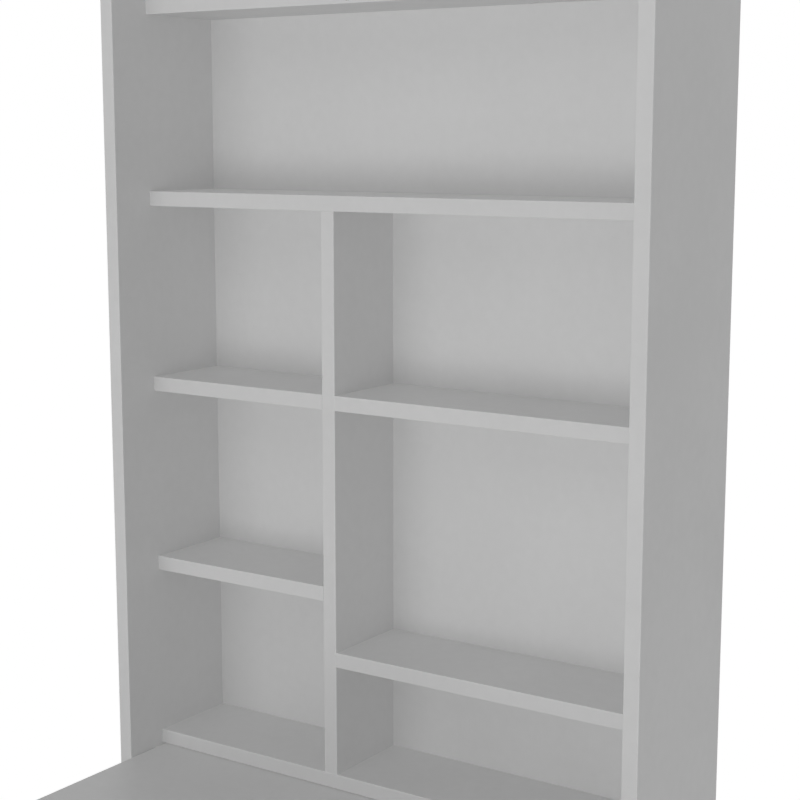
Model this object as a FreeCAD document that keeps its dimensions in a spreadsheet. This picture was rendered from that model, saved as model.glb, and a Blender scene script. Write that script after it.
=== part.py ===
import FreeCAD, Part
import math
import os
import re
import Sketcher

# A wall cabinet with a fold down desk, in millimetres. X runs to the right of someone who faces it,
# Y runs into the wall and Z up. The origin is on the wall, midway between the wall cleat's screws.
# The rest position is the desk lying open on its deployed leg frame.

SIZES = {
    # Cabinet boards
    "cabinet_width": 600,
    "board_thickness": 15,
    "row_height": 176.25,
    "left_bay_width": 217.5,
    "low_bay_height": 111,
    "shelf_depth": 100,
    "back_thickness": 6,
    "side_rise": 12,
    "side_drop": 58,
    "edge_radius": 0.8,
    "groove_depth": 5,
    "groove_play": 0.1,
    "groove_end_play": 0.5,
    # Rails and cleat that hang the cabinet on the wall
    "rail_thickness": 15,
    "hanging_rail_height": 60,
    "lower_rail_height": 50,
    "cleat_height": 60,
    "cleat_end_gap": 35,
    "cleat_screw_height": 22,
    "wall_screw_inset": 85,
    "wall_screw_hole": 5.5,
    "wall_screw_sink": 11,
    "rail_dowel_inset": 14,
    "rail_dowel_spacing": 20,
    # Dowels, cam nuts and cam bolts between the boards
    "front_fix": 28,
    "rear_fix": 25,
    "face_skin": 4.5,
    "dowel_diameter": 8,
    "dowel_length": 30,
    "dowel_chamfer": 0.8,
    "dowel_fit": 0.1,
    "dowel_end_play": 0.5,
    "through_dowel_length": 45,
    "cam_diameter": 15,
    "cam_inset": 24,
    "cam_floor": 2.4,
    "cam_fit": 0.1,
    "cam_slot_width": 2,
    "cam_slot_length": 9,
    "cam_slot_depth": 2,
    "cam_bolt_diameter": 6,
    "cam_neck_diameter": 4,
    "cam_neck_length": 4,
    "cam_head_length": 2.5,
    "cam_thread_diameter": 5,
    "cam_cap_overlap": 1.5,
    "cam_cap_thickness": 0.8,
    # Screws through the back panel
    "back_screw_diameter": 3.5,
    "back_screw_head": 7,
    "back_screw_length": 24,
    "back_screw_inset": 80,
    "screw_fit": 0.05,
    "screw_point": 2.5,
    # Desk panel and its gaps to the cabinet
    "desk_thickness": 15,
    "desk_side_gap": 2,
    "desk_top_gap": 1,
    "desk_end_gap": 2,
    "desk_tail": 45,
    "desk_height": 750,
    "desk_edge_radius": 1,
    "closed_gap": 1,
    # Pivot pins and bushes
    "pin_diameter": 8,
    "pin_in_desk": 40,
    "pin_chamfer": 0.8,
    "pin_fit": 0.03,
    "running_fit": 0.05,
    "bush_wall": 1.5,
    "bush_flange_thickness": 1.5,
    "bush_flange_width": 1.4,
    "bush_skin": 3.5,
    "bush_end_play": 0.5,
    # Magnets in the top panel and strike plates in the desk
    "magnet_diameter": 10,
    "magnet_length": 14,
    "magnet_spacing": 70,
    "magnet_proud": 0.4,
    "magnet_chamfer": 0.6,
    "strike_diameter": 16,
    "strike_thickness": 1.5,
    "strike_fit": 0.1,
    "strike_screw_diameter": 3,
    "strike_screw_head": 5.6,
    "strike_screw_length": 11,
    # Apron under the free end of the desk
    "apron_thickness": 18,
    "apron_clearance": 0.5,
    "apron_screw_diameter": 4,
    "apron_screw_head": 8,
    "apron_screw_bite": 10,
    "apron_screw_inset": 53,
    # Leg frame
    "leg_gap": 2,
    "leg_thickness": 28,
    "leg_setback": 3,
    "leg_inset": 10,
    "post_width": 45,
    "leg_rail_height": 45,
    "leg_top_rail_drop": 45,
    "leg_foot_rail_lift": 60,
    "leg_edge_radius": 2,
    "leg_dowel_length": 40,
    "leg_dowel_depth": 19,
    "leg_dowel_spacing": 22,
    # Pivot brackets, bolts, washers and nuts of the leg frame
    "bracket_thickness": 3,
    "bracket_length": 40,
    "bracket_flange": 36,
    "bracket_front": 13,
    "bracket_below": 13,
    "bracket_corner": 9,
    "bracket_bend": 2,
    "bracket_screw_side": 11,
    "bracket_screw_edge": 8,
    "bracket_screw_diameter": 4,
    "bracket_screw_head": 7.6,
    "bracket_screw_length": 13,
    "leg_bolt_diameter": 8,
    "leg_bolt_head_diameter": 14,
    "leg_bolt_head_height": 4.4,
    "leg_bolt_head_chamfer": 1.5,
    "leg_bolt_socket": 5,
    "leg_bolt_socket_depth": 2.6,
    "leg_bolt_end": 1.5,
    "washer_diameter": 16,
    "washer_thickness": 1.6,
    "washer_play": 0.3,
    "washer_fit": 0.2,
    "nut_across_flats": 13,
    "nut_hex_height": 6,
    "nut_collar_height": 2,
    "nut_collar_wall": 1.6,
    # Levelling feet and their inserts
    "foot_height": 12,
    "foot_disc_diameter": 26,
    "foot_disc_thickness": 6,
    "foot_disc_chamfer": 1.5,
    "foot_stem_diameter": 8,
    "foot_stem_length": 22,
    "foot_hole_depth": 32,
    "insert_diameter": 12,
    "insert_length": 18,
    "insert_flange_diameter": 18,
    "insert_flange_thickness": 1.2,
    # Felt pads
    "rest_pad_diameter": 20,
    "rest_pad_inset": 60,
    "stop_pad_diameter": 16,
    "stop_pad_inset": 83,
    "stop_pad_reach": 30,
    "pad_gap": 0.3,
    "pad_chamfer": 0.2,
}

# Places and sizes that follow from the sizes above
PLACES = {
    "inner_width": "cabinet_width - 2 * board_thickness",
    "inner_height": "4 * row_height + 3 * board_thickness",
    "front_recess": "closed_gap + desk_thickness + leg_gap + leg_thickness + leg_setback",
    "deep_board": "shelf_depth + back_thickness + rail_thickness",
    "cabinet_depth": "front_recess + deep_board",
    "side_height": "side_drop + 2 * board_thickness + inner_height + side_rise",
    "right_bay_width": "inner_width - left_bay_width - board_thickness",
    "divider_height": "3 * row_height + 2 * board_thickness",
    "back_width": "inner_width + 2 * groove_depth - 2 * groove_end_play",
    "back_height": "inner_height + 2 * groove_depth - 2 * groove_end_play",
    "cleat_length": "inner_width - 2 * cleat_end_gap",
    "wall_screw_spacing": "inner_width - 2 * wall_screw_inset",
    # Levels
    "top_under": "cleat_height - rail_thickness - cleat_screw_height + hanging_rail_height",
    "bottom_top": "top_under - inner_height",
    "bottom_under": "bottom_top - board_thickness",
    "side_low": "bottom_under - side_drop",
    "full_under": "bottom_top + divider_height",
    "middle_under": "bottom_top + 2 * row_height + board_thickness",
    "left_low_under": "bottom_top + row_height",
    "right_low_under": "bottom_top + low_bay_height",
    # Across and along the cabinet
    "inner_left": "0 - inner_width / 2",
    "divider_left": "inner_left + left_bay_width",
    "divider_right": "divider_left + board_thickness",
    "shelf_front": "0 - deep_board",
    "rear_place": "shelf_depth - rear_fix",
    "half_board": "board_thickness / 2",
    # Depths of blind holes, and how far a dowel stands in a board's end
    "face_hole": "board_thickness - face_skin",
    "dowel_in_face": "face_hole - dowel_end_play",
    "dowel_in_end": "dowel_length - dowel_in_face",
    "end_hole": "dowel_in_end + dowel_end_play",
    "dowel_hole": "dowel_diameter + 2 * dowel_fit",
    "through_in_end": "(through_dowel_length - board_thickness) / 2",
    "through_end_hole": "through_in_end + dowel_end_play",
    "cam_hole": "cam_diameter + 2 * cam_fit",
    "cam_pocket": "board_thickness - cam_floor",
    "cam_height": "cam_pocket - cam_fit",
    "cam_bolt_hole": "cam_bolt_diameter + 2 * cam_fit",
    "cam_thread_hole": "cam_thread_diameter + 2 * cam_fit",
    "cam_bolt_length": "cam_head_length / 2 + cam_inset + dowel_in_face",
    # Desk
    "desk_width": "inner_width - 2 * desk_side_gap",
    "desk_left": "0 - desk_width / 2",
    "desk_top": "bottom_under - desk_top_gap",
    "desk_under": "desk_top - desk_thickness",
    "pivot_level": "desk_top - desk_thickness / 2",
    "pivot_back": "shelf_front - closed_gap - desk_thickness / 2",
    "desk_reach": "side_low + side_height - desk_end_gap - pivot_level",
    "desk_length": "desk_reach + desk_tail",
    "desk_free": "pivot_back - desk_reach",
    "floor_level": "desk_top - desk_height",
    "bush_hole": "board_thickness - bush_skin",
    "bush_bore_radius": "pin_diameter / 2 + running_fit",
    "bush_radius": "bush_bore_radius + bush_wall",
    "bush_flange_radius": "bush_radius + bush_flange_width",
    "bush_sleeve": "bush_hole - bush_end_play",
    "pin_in_side": "bush_sleeve - bush_end_play",
    "pin_length": "pin_in_side + desk_side_gap + pin_in_desk",
    "strike_from_free": "desk_reach - (top_under + half_board - pivot_level)",
    # Leg frame
    "apron_height": "leg_gap + leg_thickness",
    "leg_width": "desk_width - 2 * leg_inset",
    "apron_screw_step": "leg_width / 2 - apron_screw_inset",
    "leg_left": "0 - leg_width / 2",
    "leg_rail_length": "leg_width - 2 * post_width",
    "leg_axis_in": "apron_thickness + apron_clearance + leg_thickness / 2",
    "leg_axis_back": "desk_free + leg_axis_in",
    "leg_axis_level": "desk_under - leg_gap - leg_thickness / 2",
    "leg_front": "leg_axis_back - leg_thickness / 2",
    "post_low": "floor_level + foot_height",
    "post_axis": "leg_axis_level - post_low",
    "top_rail_low": "leg_axis_level - leg_top_rail_drop - leg_rail_height",
    "foot_rail_low": "floor_level + leg_foot_rail_lift",
    "leg_dowel_low": "(leg_rail_height - leg_dowel_spacing) / 2",
    "leg_dowel_high": "(leg_rail_height + leg_dowel_spacing) / 2",
    "leg_end_hole": "leg_dowel_length - leg_dowel_depth + dowel_end_play",
    "leg_post_hole": "leg_dowel_depth + dowel_end_play",
    "leg_bolt_hole": "leg_bolt_diameter + 2 * running_fit",
    "bracket_side": "leg_inset + post_width + washer_play + washer_thickness",
    "bracket_height": "leg_gap + leg_thickness / 2 + bracket_below",
    "bracket_width": "bracket_thickness + bracket_flange",
    "bracket_start": "leg_axis_in - bracket_front",
    "leg_bolt_shank": "2 * washer_thickness + 2 * washer_play + post_width + bracket_thickness"
                      " + nut_hex_height + nut_collar_height + leg_bolt_end",
    "apron_screw_length": "apron_height + apron_screw_bite",
    "insert_bore": "foot_stem_diameter + 2 * running_fit",
    "insert_hole": "insert_diameter + 2 * dowel_fit",
    "insert_flange_hole": "insert_flange_diameter + 2 * dowel_fit",
    "rest_pad_thickness": "leg_gap - pad_gap",
    "rest_pad_back": "leg_axis_back + leg_axis_level - floor_level - rest_pad_inset",
    "stop_pad_thickness": "desk_top_gap - pad_gap",
}

document = FreeCAD.newDocument("fold_down_desk")
sheet = document.addObject("Spreadsheet::Sheet", "sizes")
for row, (alias, size) in enumerate(SIZES.items(), start=1):
    sheet.set("A%d" % row, alias)
    sheet.set("B%d" % row, str(size))
    sheet.setAlias("B%d" % row, alias)
document.recompute()

pieces = []
AXES = {"X": FreeCAD.Vector(1, 0, 0), "Y": FreeCAD.Vector(0, 1, 0), "Z": FreeCAD.Vector(0, 0, 1)}
# The origin plane that is square to each axis, and the sign of its normal along that axis
PLANES = {"X": ("YZ_Plane", 1), "Y": ("XZ_Plane", -1), "Z": ("XY_Plane", 1)}


def expression(text):
    """The same sum, with each size as its cell in the sheet and each place as the sum that gives it."""
    def written(match):
        word = match.group(0)
        if word in PLACES:
            return "(" + expression(PLACES[word]) + ")"
        return "sizes." + word
    return re.sub(r"[a-z_]+", written, text)


def bind(thing, **values):
    """Ties properties of an object to sums of the sheet's sizes."""
    for name, text in values.items():
        thing.setExpression(name.replace("__", "."), expression(text))


def put(thing, x, y, z):
    """Ties an object's place to sums of the sheet's sizes."""
    bind(thing, Placement__Base__x=x, Placement__Base__y=y, Placement__Base__z=z)


def direction(into):
    """The unit vector of a direction such as +X or -Y."""
    return AXES[into[1]] * (1 if into[0] == "+" else -1)


def mirrored(place, width):
    """The same place, measured from the other end of a width."""
    return "%s - (%s)" % (width, place)


def new_body(name):
    """An empty solid body with the piece's name."""
    body = document.addObject("PartDesign::Body", name)
    body.Label = name
    return body


def new_sketch(body, axis, level):
    """A sketch on the body's own plane square to an axis, at a level along that axis."""
    role, sign = PLANES[axis]
    plane = next(item for item in body.Origin.OriginFeatures if item.Role == role)
    sketch = body.newObject("Sketcher::SketchObject", body.Name + "_sketch")
    sketch.AttachmentSupport = [(plane, "")]
    sketch.MapMode = "FlatFace"
    sketch.setExpression("AttachmentOffset.Base.z", "%d * (%s)" % (sign, expression(level)))
    return sketch


def hold(sketch, geometry, point, name, across, along):
    """Holds one point of a sketch at distances across and along from its origin."""
    for kind, level, text in (("X", "Vertical", across), ("Y", "Horizontal", along)):
        if text == "0":
            sketch.addConstraint(Sketcher.Constraint(level, -1, 1, geometry, point))
            continue
        start = sketch.getPoint(geometry, point)
        distance = start.x if kind == "X" else start.y
        constraint = Sketcher.Constraint("Distance" + kind, -1, 1, geometry, point, distance)
        label = name + kind.lower()
        sketch.renameConstraint(sketch.addConstraint(constraint), label)
        sketch.setExpression("Constraints." + label, expression(text))


def polygon(body, axis, level, corners):
    """A closed outline through corners that are given as sums of the sheet's sizes."""
    sketch = new_sketch(body, axis, level)
    turn = 360 / len(corners)
    rim = [FreeCAD.Rotation(AXES["Z"], turn * n).multVec(AXES["X"]) for n in range(len(corners))]
    starts = [point + AXES["X"] * 2 + AXES["Y"] * 2 for point in rim]
    for n, start in enumerate(starts):
        sketch.addGeometry(Part.LineSegment(start, starts[(n + 1) % len(starts)]))
    for n in range(len(corners)):
        sketch.addConstraint(Sketcher.Constraint("Coincident", n, 2, (n + 1) % len(corners), 1))
    for n, (across, along) in enumerate(corners):
        hold(sketch, n, 1, "corner_%s_" % "abcdefghijkl"[n], across, along)
    return sketch


def rectangle(body, axis, level, corner, size):
    """A rectangle's outline from its low corner and its size."""
    left, low = corner
    right = "%s + %s" % (left, size[0])
    high = "%s + %s" % (low, size[1])
    return polygon(body, axis, level, [(left, low), (right, low), (right, high), (left, high)])


def circles(body, axis, level, centres, diameter):
    """Circles of one diameter at centres that are given as sums of the sheet's sizes."""
    sketch = new_sketch(body, axis, level)
    for n, (across, along) in enumerate(centres):
        start = AXES["X"] * (3 * n + 3) + AXES["Y"] * 3
        geometry = sketch.addGeometry(Part.Circle(start, AXES["Z"], 1))
        hold(sketch, geometry, 3, "centre_%d_" % n, across, along)
        label = "diameter_%d" % n
        index = sketch.addConstraint(Sketcher.Constraint("Diameter", geometry, 2))
        sketch.renameConstraint(index, label)
        sketch.setExpression("Constraints." + label, expression(diameter))
    return sketch


def hexagon(body, level, across_flats):
    """A regular hexagon about the body's Z axis."""
    sketch = new_sketch(body, "Z", level)
    rim = [FreeCAD.Rotation(AXES["Z"], 60 * n).multVec(AXES["X"]) for n in range(6)]
    for n in range(6):
        sketch.addGeometry(Part.LineSegment(rim[n], rim[(n + 1) % 6]))
    ring = sketch.addGeometry(Part.Circle(FreeCAD.Vector(), AXES["Z"], 1), True)
    sketch.addConstraint(Sketcher.Constraint("Coincident", ring, 3, -1, 1))
    for n in range(6):
        sketch.addConstraint(Sketcher.Constraint("Coincident", n, 2, (n + 1) % 6, 1))
        sketch.addConstraint(Sketcher.Constraint("PointOnObject", n, 1, ring))
    for n in range(1, 6):
        sketch.addConstraint(Sketcher.Constraint("Equal", 0, n))
    sketch.addConstraint(Sketcher.Constraint("Horizontal", 1))
    index = sketch.addConstraint(Sketcher.Constraint("Diameter", ring, 2))
    sketch.renameConstraint(index, "corners")
    sketch.setExpression("Constraints.corners", expression(across_flats) + " / cos(30 deg)")
    return sketch


def pad(body, sketch, length, reverse=False):
    """Raises a sketch into solid."""
    feature = body.newObject("PartDesign::Pad", body.Name + "_pad")
    feature.Profile = sketch
    feature.Reversed = reverse
    bind(feature, Length=length)
    document.recompute()
    return feature


def pocket(body, sketch, into, depth):
    """Cuts a sketch into the solid, and makes sure that the cut met the solid."""
    before = body.Shape.Volume
    feature = body.newObject("PartDesign::Pocket", body.Name + "_pocket")
    feature.Profile = sketch
    sign = PLANES[into[1]][1]
    feature.Reversed = (into[0] == "+") == (sign > 0)
    bind(feature, Length=depth)
    document.recompute()
    if not body.Shape.Volume < before:
        raise RuntimeError("a cut in %s met nothing" % body.Label)
    return feature


def drill(body, into, level, centres, diameter, depth):
    """Blind round holes of one size, drilled from a level in a direction such as +X."""
    return pocket(body, circles(body, into[1], level, centres, diameter), into, depth)


def countersink(body, into, level, centres, bore, sink):
    """Round holes right through, with a cone for a screw's head at the level they start from."""
    before = body.Shape.Volume
    sketch = circles(body, into[1], level, centres, bore)
    document.recompute()
    feature = body.newObject("PartDesign::Hole", body.Name + "_hole")
    feature.Profile = sketch
    document.recompute()
    feature.Threaded = False
    feature.DepthType = "ThroughAll"
    feature.Reversed = (into[0] == "+") == (PLANES[into[1]][1] > 0)
    bind(feature, Diameter=bore)
    feature.HoleCutType = "Countersink"
    bind(feature, HoleCutDiameter=sink)
    feature.HoleCutCountersinkAngle = 90
    document.recompute()
    if not body.Shape.Volume < before:
        raise RuntimeError("a screw hole in %s met nothing" % body.Label)
    return feature


def edges_of(shape, along, **ends):
    """Names of the straight edges along an axis, such as those at the low end of Y."""
    box = shape.BoundBox
    limits = {"X": (box.XMin, box.XMax), "Y": (box.YMin, box.YMax), "Z": (box.ZMin, box.ZMax)}
    near = box.DiagonalLength / 10000
    names = []
    for n, edge in enumerate(shape.Edges, start=1):
        if edge.Curve.TypeId != "Part::GeomLine":
            continue
        if abs(edge.Curve.Direction.dot(AXES[along])) < 1 - 1 / 1000:
            continue
        middle = edge.CenterOfMass
        places = {"X": middle.x, "Y": middle.y, "Z": middle.z}
        wanted = [limits[axis][0 if end == "low" else 1] for axis, end in ends.items()]
        if all(abs(places[axis] - limit) < near for axis, limit in zip(ends, wanted)):
            names.append("Edge%d" % n)
    return names


def round_edges(body, radius, *groups):
    """Rounds straight edges: each group is an axis and the ends of the solid that they lie at."""
    base = body.Tip
    names = [name for along, ends in groups for name in edges_of(base.Shape, along, **ends)]
    feature = body.newObject("PartDesign::Fillet", body.Name + "_fillet")
    feature.Base = (base, sorted(set(names)))
    bind(feature, Radius=radius)
    document.recompute()
    return feature


def spun(name, outline):
    """A turned piece about the Z axis, from half its outline as radius and height."""
    body = new_body(name)
    sketch = polygon(body, "Y", "0", outline)
    axis = next(item for item in body.Origin.OriginFeatures if item.Role == "Z_Axis")
    feature = body.newObject("PartDesign::Revolution", name + "_turn")
    feature.Profile = sketch
    feature.ReferenceAxis = (axis, [""])
    feature.Angle = 360
    document.recompute()
    return body


def rod(name, diameter, length, chamfer):
    """A round rod from the origin along Z, with both ends chamfered."""
    radius = "%s / 2" % diameter
    inner = "%s - %s" % (radius, chamfer)
    high = "%s - %s" % (length, chamfer)
    return spun(name, [("0", "0"), (inner, "0"), (radius, chamfer), (radius, high),
                       (inner, length), ("0", length)])


def wood_screw(name, diameter, head, length):
    """A countersunk screw with its head at the origin and its point along Z."""
    radius = "%s / 2" % diameter
    cone = "(%s - %s) / 2" % (head, diameter)
    body = spun(name, [("0", "0"), ("%s / 2" % head, "0"), (radius, cone),
                       (radius, "%s - screw_point" % length), ("0", length)])
    for size in ((CROSS_WIDE_SHARE, CROSS_NARROW_SHARE), (CROSS_NARROW_SHARE, CROSS_WIDE_SHARE)):
        cross_slot(body, "%s * %s" % (head, size[0]), "%s * %s" % (head, size[1]), cone)
    return body


def cross_slot(body, across, along, depth):
    """One slot of a cross recess in the face at the origin of a turned piece."""
    sketch = new_sketch(body, "Z", "0")
    corners = [AXES["X"] * x + AXES["Y"] * y for x, y in ((-1, -1), (1, -1), (1, 1), (-1, 1))]
    for n in range(4):
        sketch.addGeometry(Part.LineSegment(corners[n], corners[(n + 1) % 4]))
    for n in range(4):
        sketch.addConstraint(Sketcher.Constraint("Coincident", n, 2, (n + 1) % 4, 1))
        sketch.addConstraint(Sketcher.Constraint("Horizontal" if n % 2 == 0 else "Vertical", n))
    sketch.addConstraint(Sketcher.Constraint("Symmetric", 0, 1, 2, 1, -1, 1))
    for label, kind, line, text in (("across", "DistanceX", 0, across), ("along", "DistanceY", 1, along)):
        index = sketch.addConstraint(Sketcher.Constraint(kind, line, 1, line, 2, 2))
        sketch.renameConstraint(index, label)
        sketch.setExpression("Constraints." + label, expression(text))
    pocket(body, sketch, "+Z", depth)


def turned(z, x="+X"):
    """The rotation that points a piece's own Z, and as near as it can its X, in given directions."""
    return FreeCAD.Rotation(direction(x), FreeCAD.Vector(), direction(z), "ZXY")


def group(name, copies):
    """One node of like pieces: each copy is a pattern piece, its directions and its place."""
    links = []
    for n, (pattern, rotation, place) in enumerate(copies, start=1):
        link = document.addObject("App::Link", "%s_%d" % (name, n))
        link.LinkedObject = pattern
        link.Placement = FreeCAD.Placement(FreeCAD.Vector(), rotation)
        put(link, *place)
        links.append(link)
    compound = document.addObject("Part::Compound", name)
    compound.Label = name
    compound.Links = links
    pieces.append(compound)
    document.recompute()
    return compound


def board(name, place, size):
    """A board from its low corner and its sizes along X, Y and Z."""
    body = new_body(name)
    pad(body, rectangle(body, "Z", "0", ("0", "0"), size[:2]), size[2])
    put(body, *place)
    pieces.append(body)
    return body


def kept(body, rotation, place):
    """Puts a turned piece in its place as a node of its own."""
    body.Placement = FreeCAD.Placement(FreeCAD.Vector(), rotation)
    put(body, *place)
    pieces.append(body)
    return body


FRONT_EDGES = ("X", {"Y": "low"})
ALL_EDGES = (("X", {}), ("Y", {}), ("Z", {}))
CROSS_WIDE_SHARE = 0.56
CROSS_NARROW_SHARE = 0.16

# Side panels: full height boards with a groove for the back panel and blind holes on the inner face
SIDE_FRONT_PLACE = "front_recess + front_fix"
SIDE_REAR_PLACE = "front_recess + rear_place"
RAIL_PLACE = "cabinet_depth - rail_thickness / 2"
MAIN_LEVELS = ("top_under", "full_under", "bottom_under")
RAIL_TOPS = ("top_under", "bottom_under")


def board_middle(under):
    """The level of a board's middle above the low end of the side panels."""
    return "%s + half_board - side_low" % under


for side, left, face, into, own_levels in (
        ("left", "0 - cabinet_width / 2", "board_thickness", "-X", ("middle_under", "left_low_under")),
        ("right", "cabinet_width / 2 - board_thickness", "0", "+X", ("middle_under", "right_low_under"))):
    panel = board(side + "_side_panel", (left, "0 - cabinet_depth", "side_low"),
                  ("board_thickness", "cabinet_depth", "side_height"))
    round_edges(panel, "edge_radius", *ALL_EDGES)
    groove = rectangle(panel, "X", face,
                       ("front_recess + shelf_depth - groove_play", "bottom_top - groove_depth - side_low"),
                       ("back_thickness + 2 * groove_play", "inner_height + 2 * groove_depth"))
    pocket(panel, groove, into, "groove_depth")
    drill(panel, into, face, [(SIDE_FRONT_PLACE, board_middle(level)) for level in MAIN_LEVELS],
          "cam_thread_hole", "face_hole")
    dowel_places = [(SIDE_REAR_PLACE, board_middle(level)) for level in MAIN_LEVELS]
    for level in own_levels:
        dowel_places += [(SIDE_FRONT_PLACE, board_middle(level)), (SIDE_REAR_PLACE, board_middle(level))]
    for level in RAIL_TOPS:
        first = "%s - rail_dowel_inset - side_low" % level
        dowel_places += [(RAIL_PLACE, first), (RAIL_PLACE, first + " - rail_dowel_spacing")]
    drill(panel, into, face, dowel_places, "dowel_hole", "face_hole")
    drill(panel, into, face, [("pivot_back + cabinet_depth", "pivot_level - side_low")],
          "2 * bush_radius + 2 * pin_fit", "bush_hole")


# Full width boards: each end has a cam bolt's hole in front and a dowel's hole behind
def full_width_board(name, under, depth, cam_face, cam_into):
    """A board between the side panels, with the cam pockets in one of its faces."""
    body = board(name, ("inner_left", "shelf_front", under), ("inner_width", depth, "board_thickness"))
    round_edges(body, "edge_radius", FRONT_EDGES)
    for into, level in (("+X", "0"), ("-X", "inner_width")):
        drill(body, into, level, [("front_fix", "half_board")], "cam_bolt_hole", "cam_inset")
        drill(body, into, level, [("rear_place", "half_board")], "dowel_hole", "end_hole")
    cams = [("cam_inset", "front_fix"), (mirrored("cam_inset", "inner_width"), "front_fix")]
    drill(body, cam_into, cam_face, cams, "cam_hole", "cam_pocket")
    return body


def back_groove(body, face, into):
    """The groove across a full width board that takes the back panel's edge."""
    outline = rectangle(body, "Z", face, ("0", "shelf_depth - groove_play"),
                        ("inner_width", "back_thickness + 2 * groove_play"))
    pocket(body, outline, into, "groove_depth")


def divider_holes(body, face, into):
    """Holes in a full width board's face for the divider's cam bolt and dowel."""
    middle = "left_bay_width + half_board"
    drill(body, into, face, [(middle, "front_fix")], "cam_thread_hole", "face_hole")
    drill(body, into, face, [(middle, "rear_place")], "dowel_hole", "face_hole")


def back_screw_holes(body, places):
    """Pilot holes in a shelf's rear edge for the back panel's screws."""
    drill(body, "-Y", "shelf_depth", [(place, "half_board") for place in places],
          "back_screw_diameter + 2 * screw_fit", "back_screw_length - back_thickness + dowel_end_play")


top_panel = full_width_board("top_panel", "top_under", "deep_board", "board_thickness", "-Z")
back_groove(top_panel, "0", "+Z")
MAGNET_PLACES = ("(inner_width - magnet_spacing) / 2", "(inner_width + magnet_spacing) / 2")
drill(top_panel, "+Y", "0", [(place, "half_board") for place in MAGNET_PLACES],
      "magnet_diameter + 2 * pin_fit", "magnet_length - magnet_proud + pin_fit")

bottom_shelf = full_width_board("bottom_shelf", "bottom_under", "deep_board", "0", "+Z")
back_groove(bottom_shelf, "board_thickness", "-Z")
divider_holes(bottom_shelf, "board_thickness", "-Z")

FULL_SCREWS = ("back_screw_inset", "inner_width / 2", "inner_width - back_screw_inset")
full_width_shelf = full_width_board("full_width_shelf", "full_under", "shelf_depth", "0", "+Z")
divider_holes(full_width_shelf, "0", "+Z")
back_screw_holes(full_width_shelf, FULL_SCREWS)

# Vertical divider: stands between the bottom shelf and the full width shelf
divider = board("vertical_divider", ("divider_left", "shelf_front", "bottom_top"),
                ("board_thickness", "shelf_depth", "divider_height"))
round_edges(divider, "edge_radius", ("Z", {"Y": "low"}))
for into, level in (("+Z", "0"), ("-Z", "divider_height")):
    drill(divider, into, level, [("half_board", "front_fix")], "cam_bolt_hole", "cam_inset")
    drill(divider, into, level, [("half_board", "rear_place")], "dowel_hole", "end_hole")
drill(divider, "+X", "0", [("front_fix", "cam_inset"), ("front_fix", "divider_height - cam_inset")],
      "cam_hole", "cam_pocket")
for into, face, under, depth in (("+X", "0", "middle_under", "board_thickness"),
                                 ("+X", "0", "left_low_under", "face_hole"),
                                 ("-X", "board_thickness", "right_low_under", "face_hole")):
    level = "%s + half_board - bottom_top" % under
    drill(divider, into, face, [("front_fix", level), ("rear_place", level)], "dowel_hole", depth)

# Short shelves: two dowels in each end, longer ones where they run on through the divider
for name, left, under, length, left_hole, right_hole in (
        ("left_middle_shelf", "inner_left", "middle_under", "left_bay_width", "end_hole", "through_end_hole"),
        ("left_lower_shelf", "inner_left", "left_low_under", "left_bay_width", "end_hole", "end_hole"),
        ("right_middle_shelf", "divider_right", "middle_under", "right_bay_width", "through_end_hole",
         "end_hole"),
        ("right_lower_shelf", "divider_right", "right_low_under", "right_bay_width", "end_hole", "end_hole")):
    shelf = board(name, (left, "shelf_front", under), (length, "shelf_depth", "board_thickness"))
    round_edges(shelf, "edge_radius", FRONT_EDGES)
    ends = [("front_fix", "half_board"), ("rear_place", "half_board")]
    drill(shelf, "+X", "0", ends, "dowel_hole", left_hole)
    drill(shelf, "-X", length, ends, "dowel_hole", right_hole)
    back_screw_holes(shelf, ["%s / 2" % length])

# Back panel: a thin board in the grooves, screwed to the shelves from behind
BACK_SCREWS = [(place, "full_under") for place in FULL_SCREWS]
BACK_SCREWS += [("left_bay_width / 2", "middle_under"), ("left_bay_width / 2", "left_low_under")]
RIGHT_BAY_MIDDLE = "inner_width - right_bay_width / 2"
BACK_SCREWS += [(RIGHT_BAY_MIDDLE, "middle_under"), (RIGHT_BAY_MIDDLE, "right_low_under")]
BACK_EDGE = "groove_depth - groove_end_play"
back_panel = board("back_panel", ("inner_left - (%s)" % BACK_EDGE, "shelf_front + shelf_depth",
                                  "bottom_top - (%s)" % BACK_EDGE),
                   ("back_width", "back_thickness", "back_height"))
countersink(back_panel, "-Y", "back_thickness",
            [("%s + %s" % (place, BACK_EDGE), "%s + half_board - bottom_top + %s" % (under, BACK_EDGE))
             for place, under in BACK_SCREWS],
            "back_screw_diameter + 2 * screw_fit", "back_screw_head + 2 * screw_fit")
back_screw = wood_screw("back_panel_screw", "back_screw_diameter", "back_screw_head", "back_screw_length")
group("back_panel_screws",
      [(back_screw, turned("-Y"), ("inner_left + " + place, "0 - rail_thickness", under + " + half_board"))
       for place, under in BACK_SCREWS])

# Hanging rail: its lower edge is a bevel that hooks over the wall cleat
RAIL_HOLES = [("rail_thickness / 2", "hanging_rail_height - rail_dowel_inset"),
              ("rail_thickness / 2", "hanging_rail_height - rail_dowel_inset - rail_dowel_spacing")]
hanging_rail = new_body("hanging_rail")
pad(hanging_rail, polygon(hanging_rail, "X", "0", [("0", "rail_thickness"), ("rail_thickness", "0"),
                                                   ("rail_thickness", "hanging_rail_height"),
                                                   ("0", "hanging_rail_height")]), "inner_width")
put(hanging_rail, "inner_left", "0 - rail_thickness", "top_under - hanging_rail_height")
pieces.append(hanging_rail)

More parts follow.
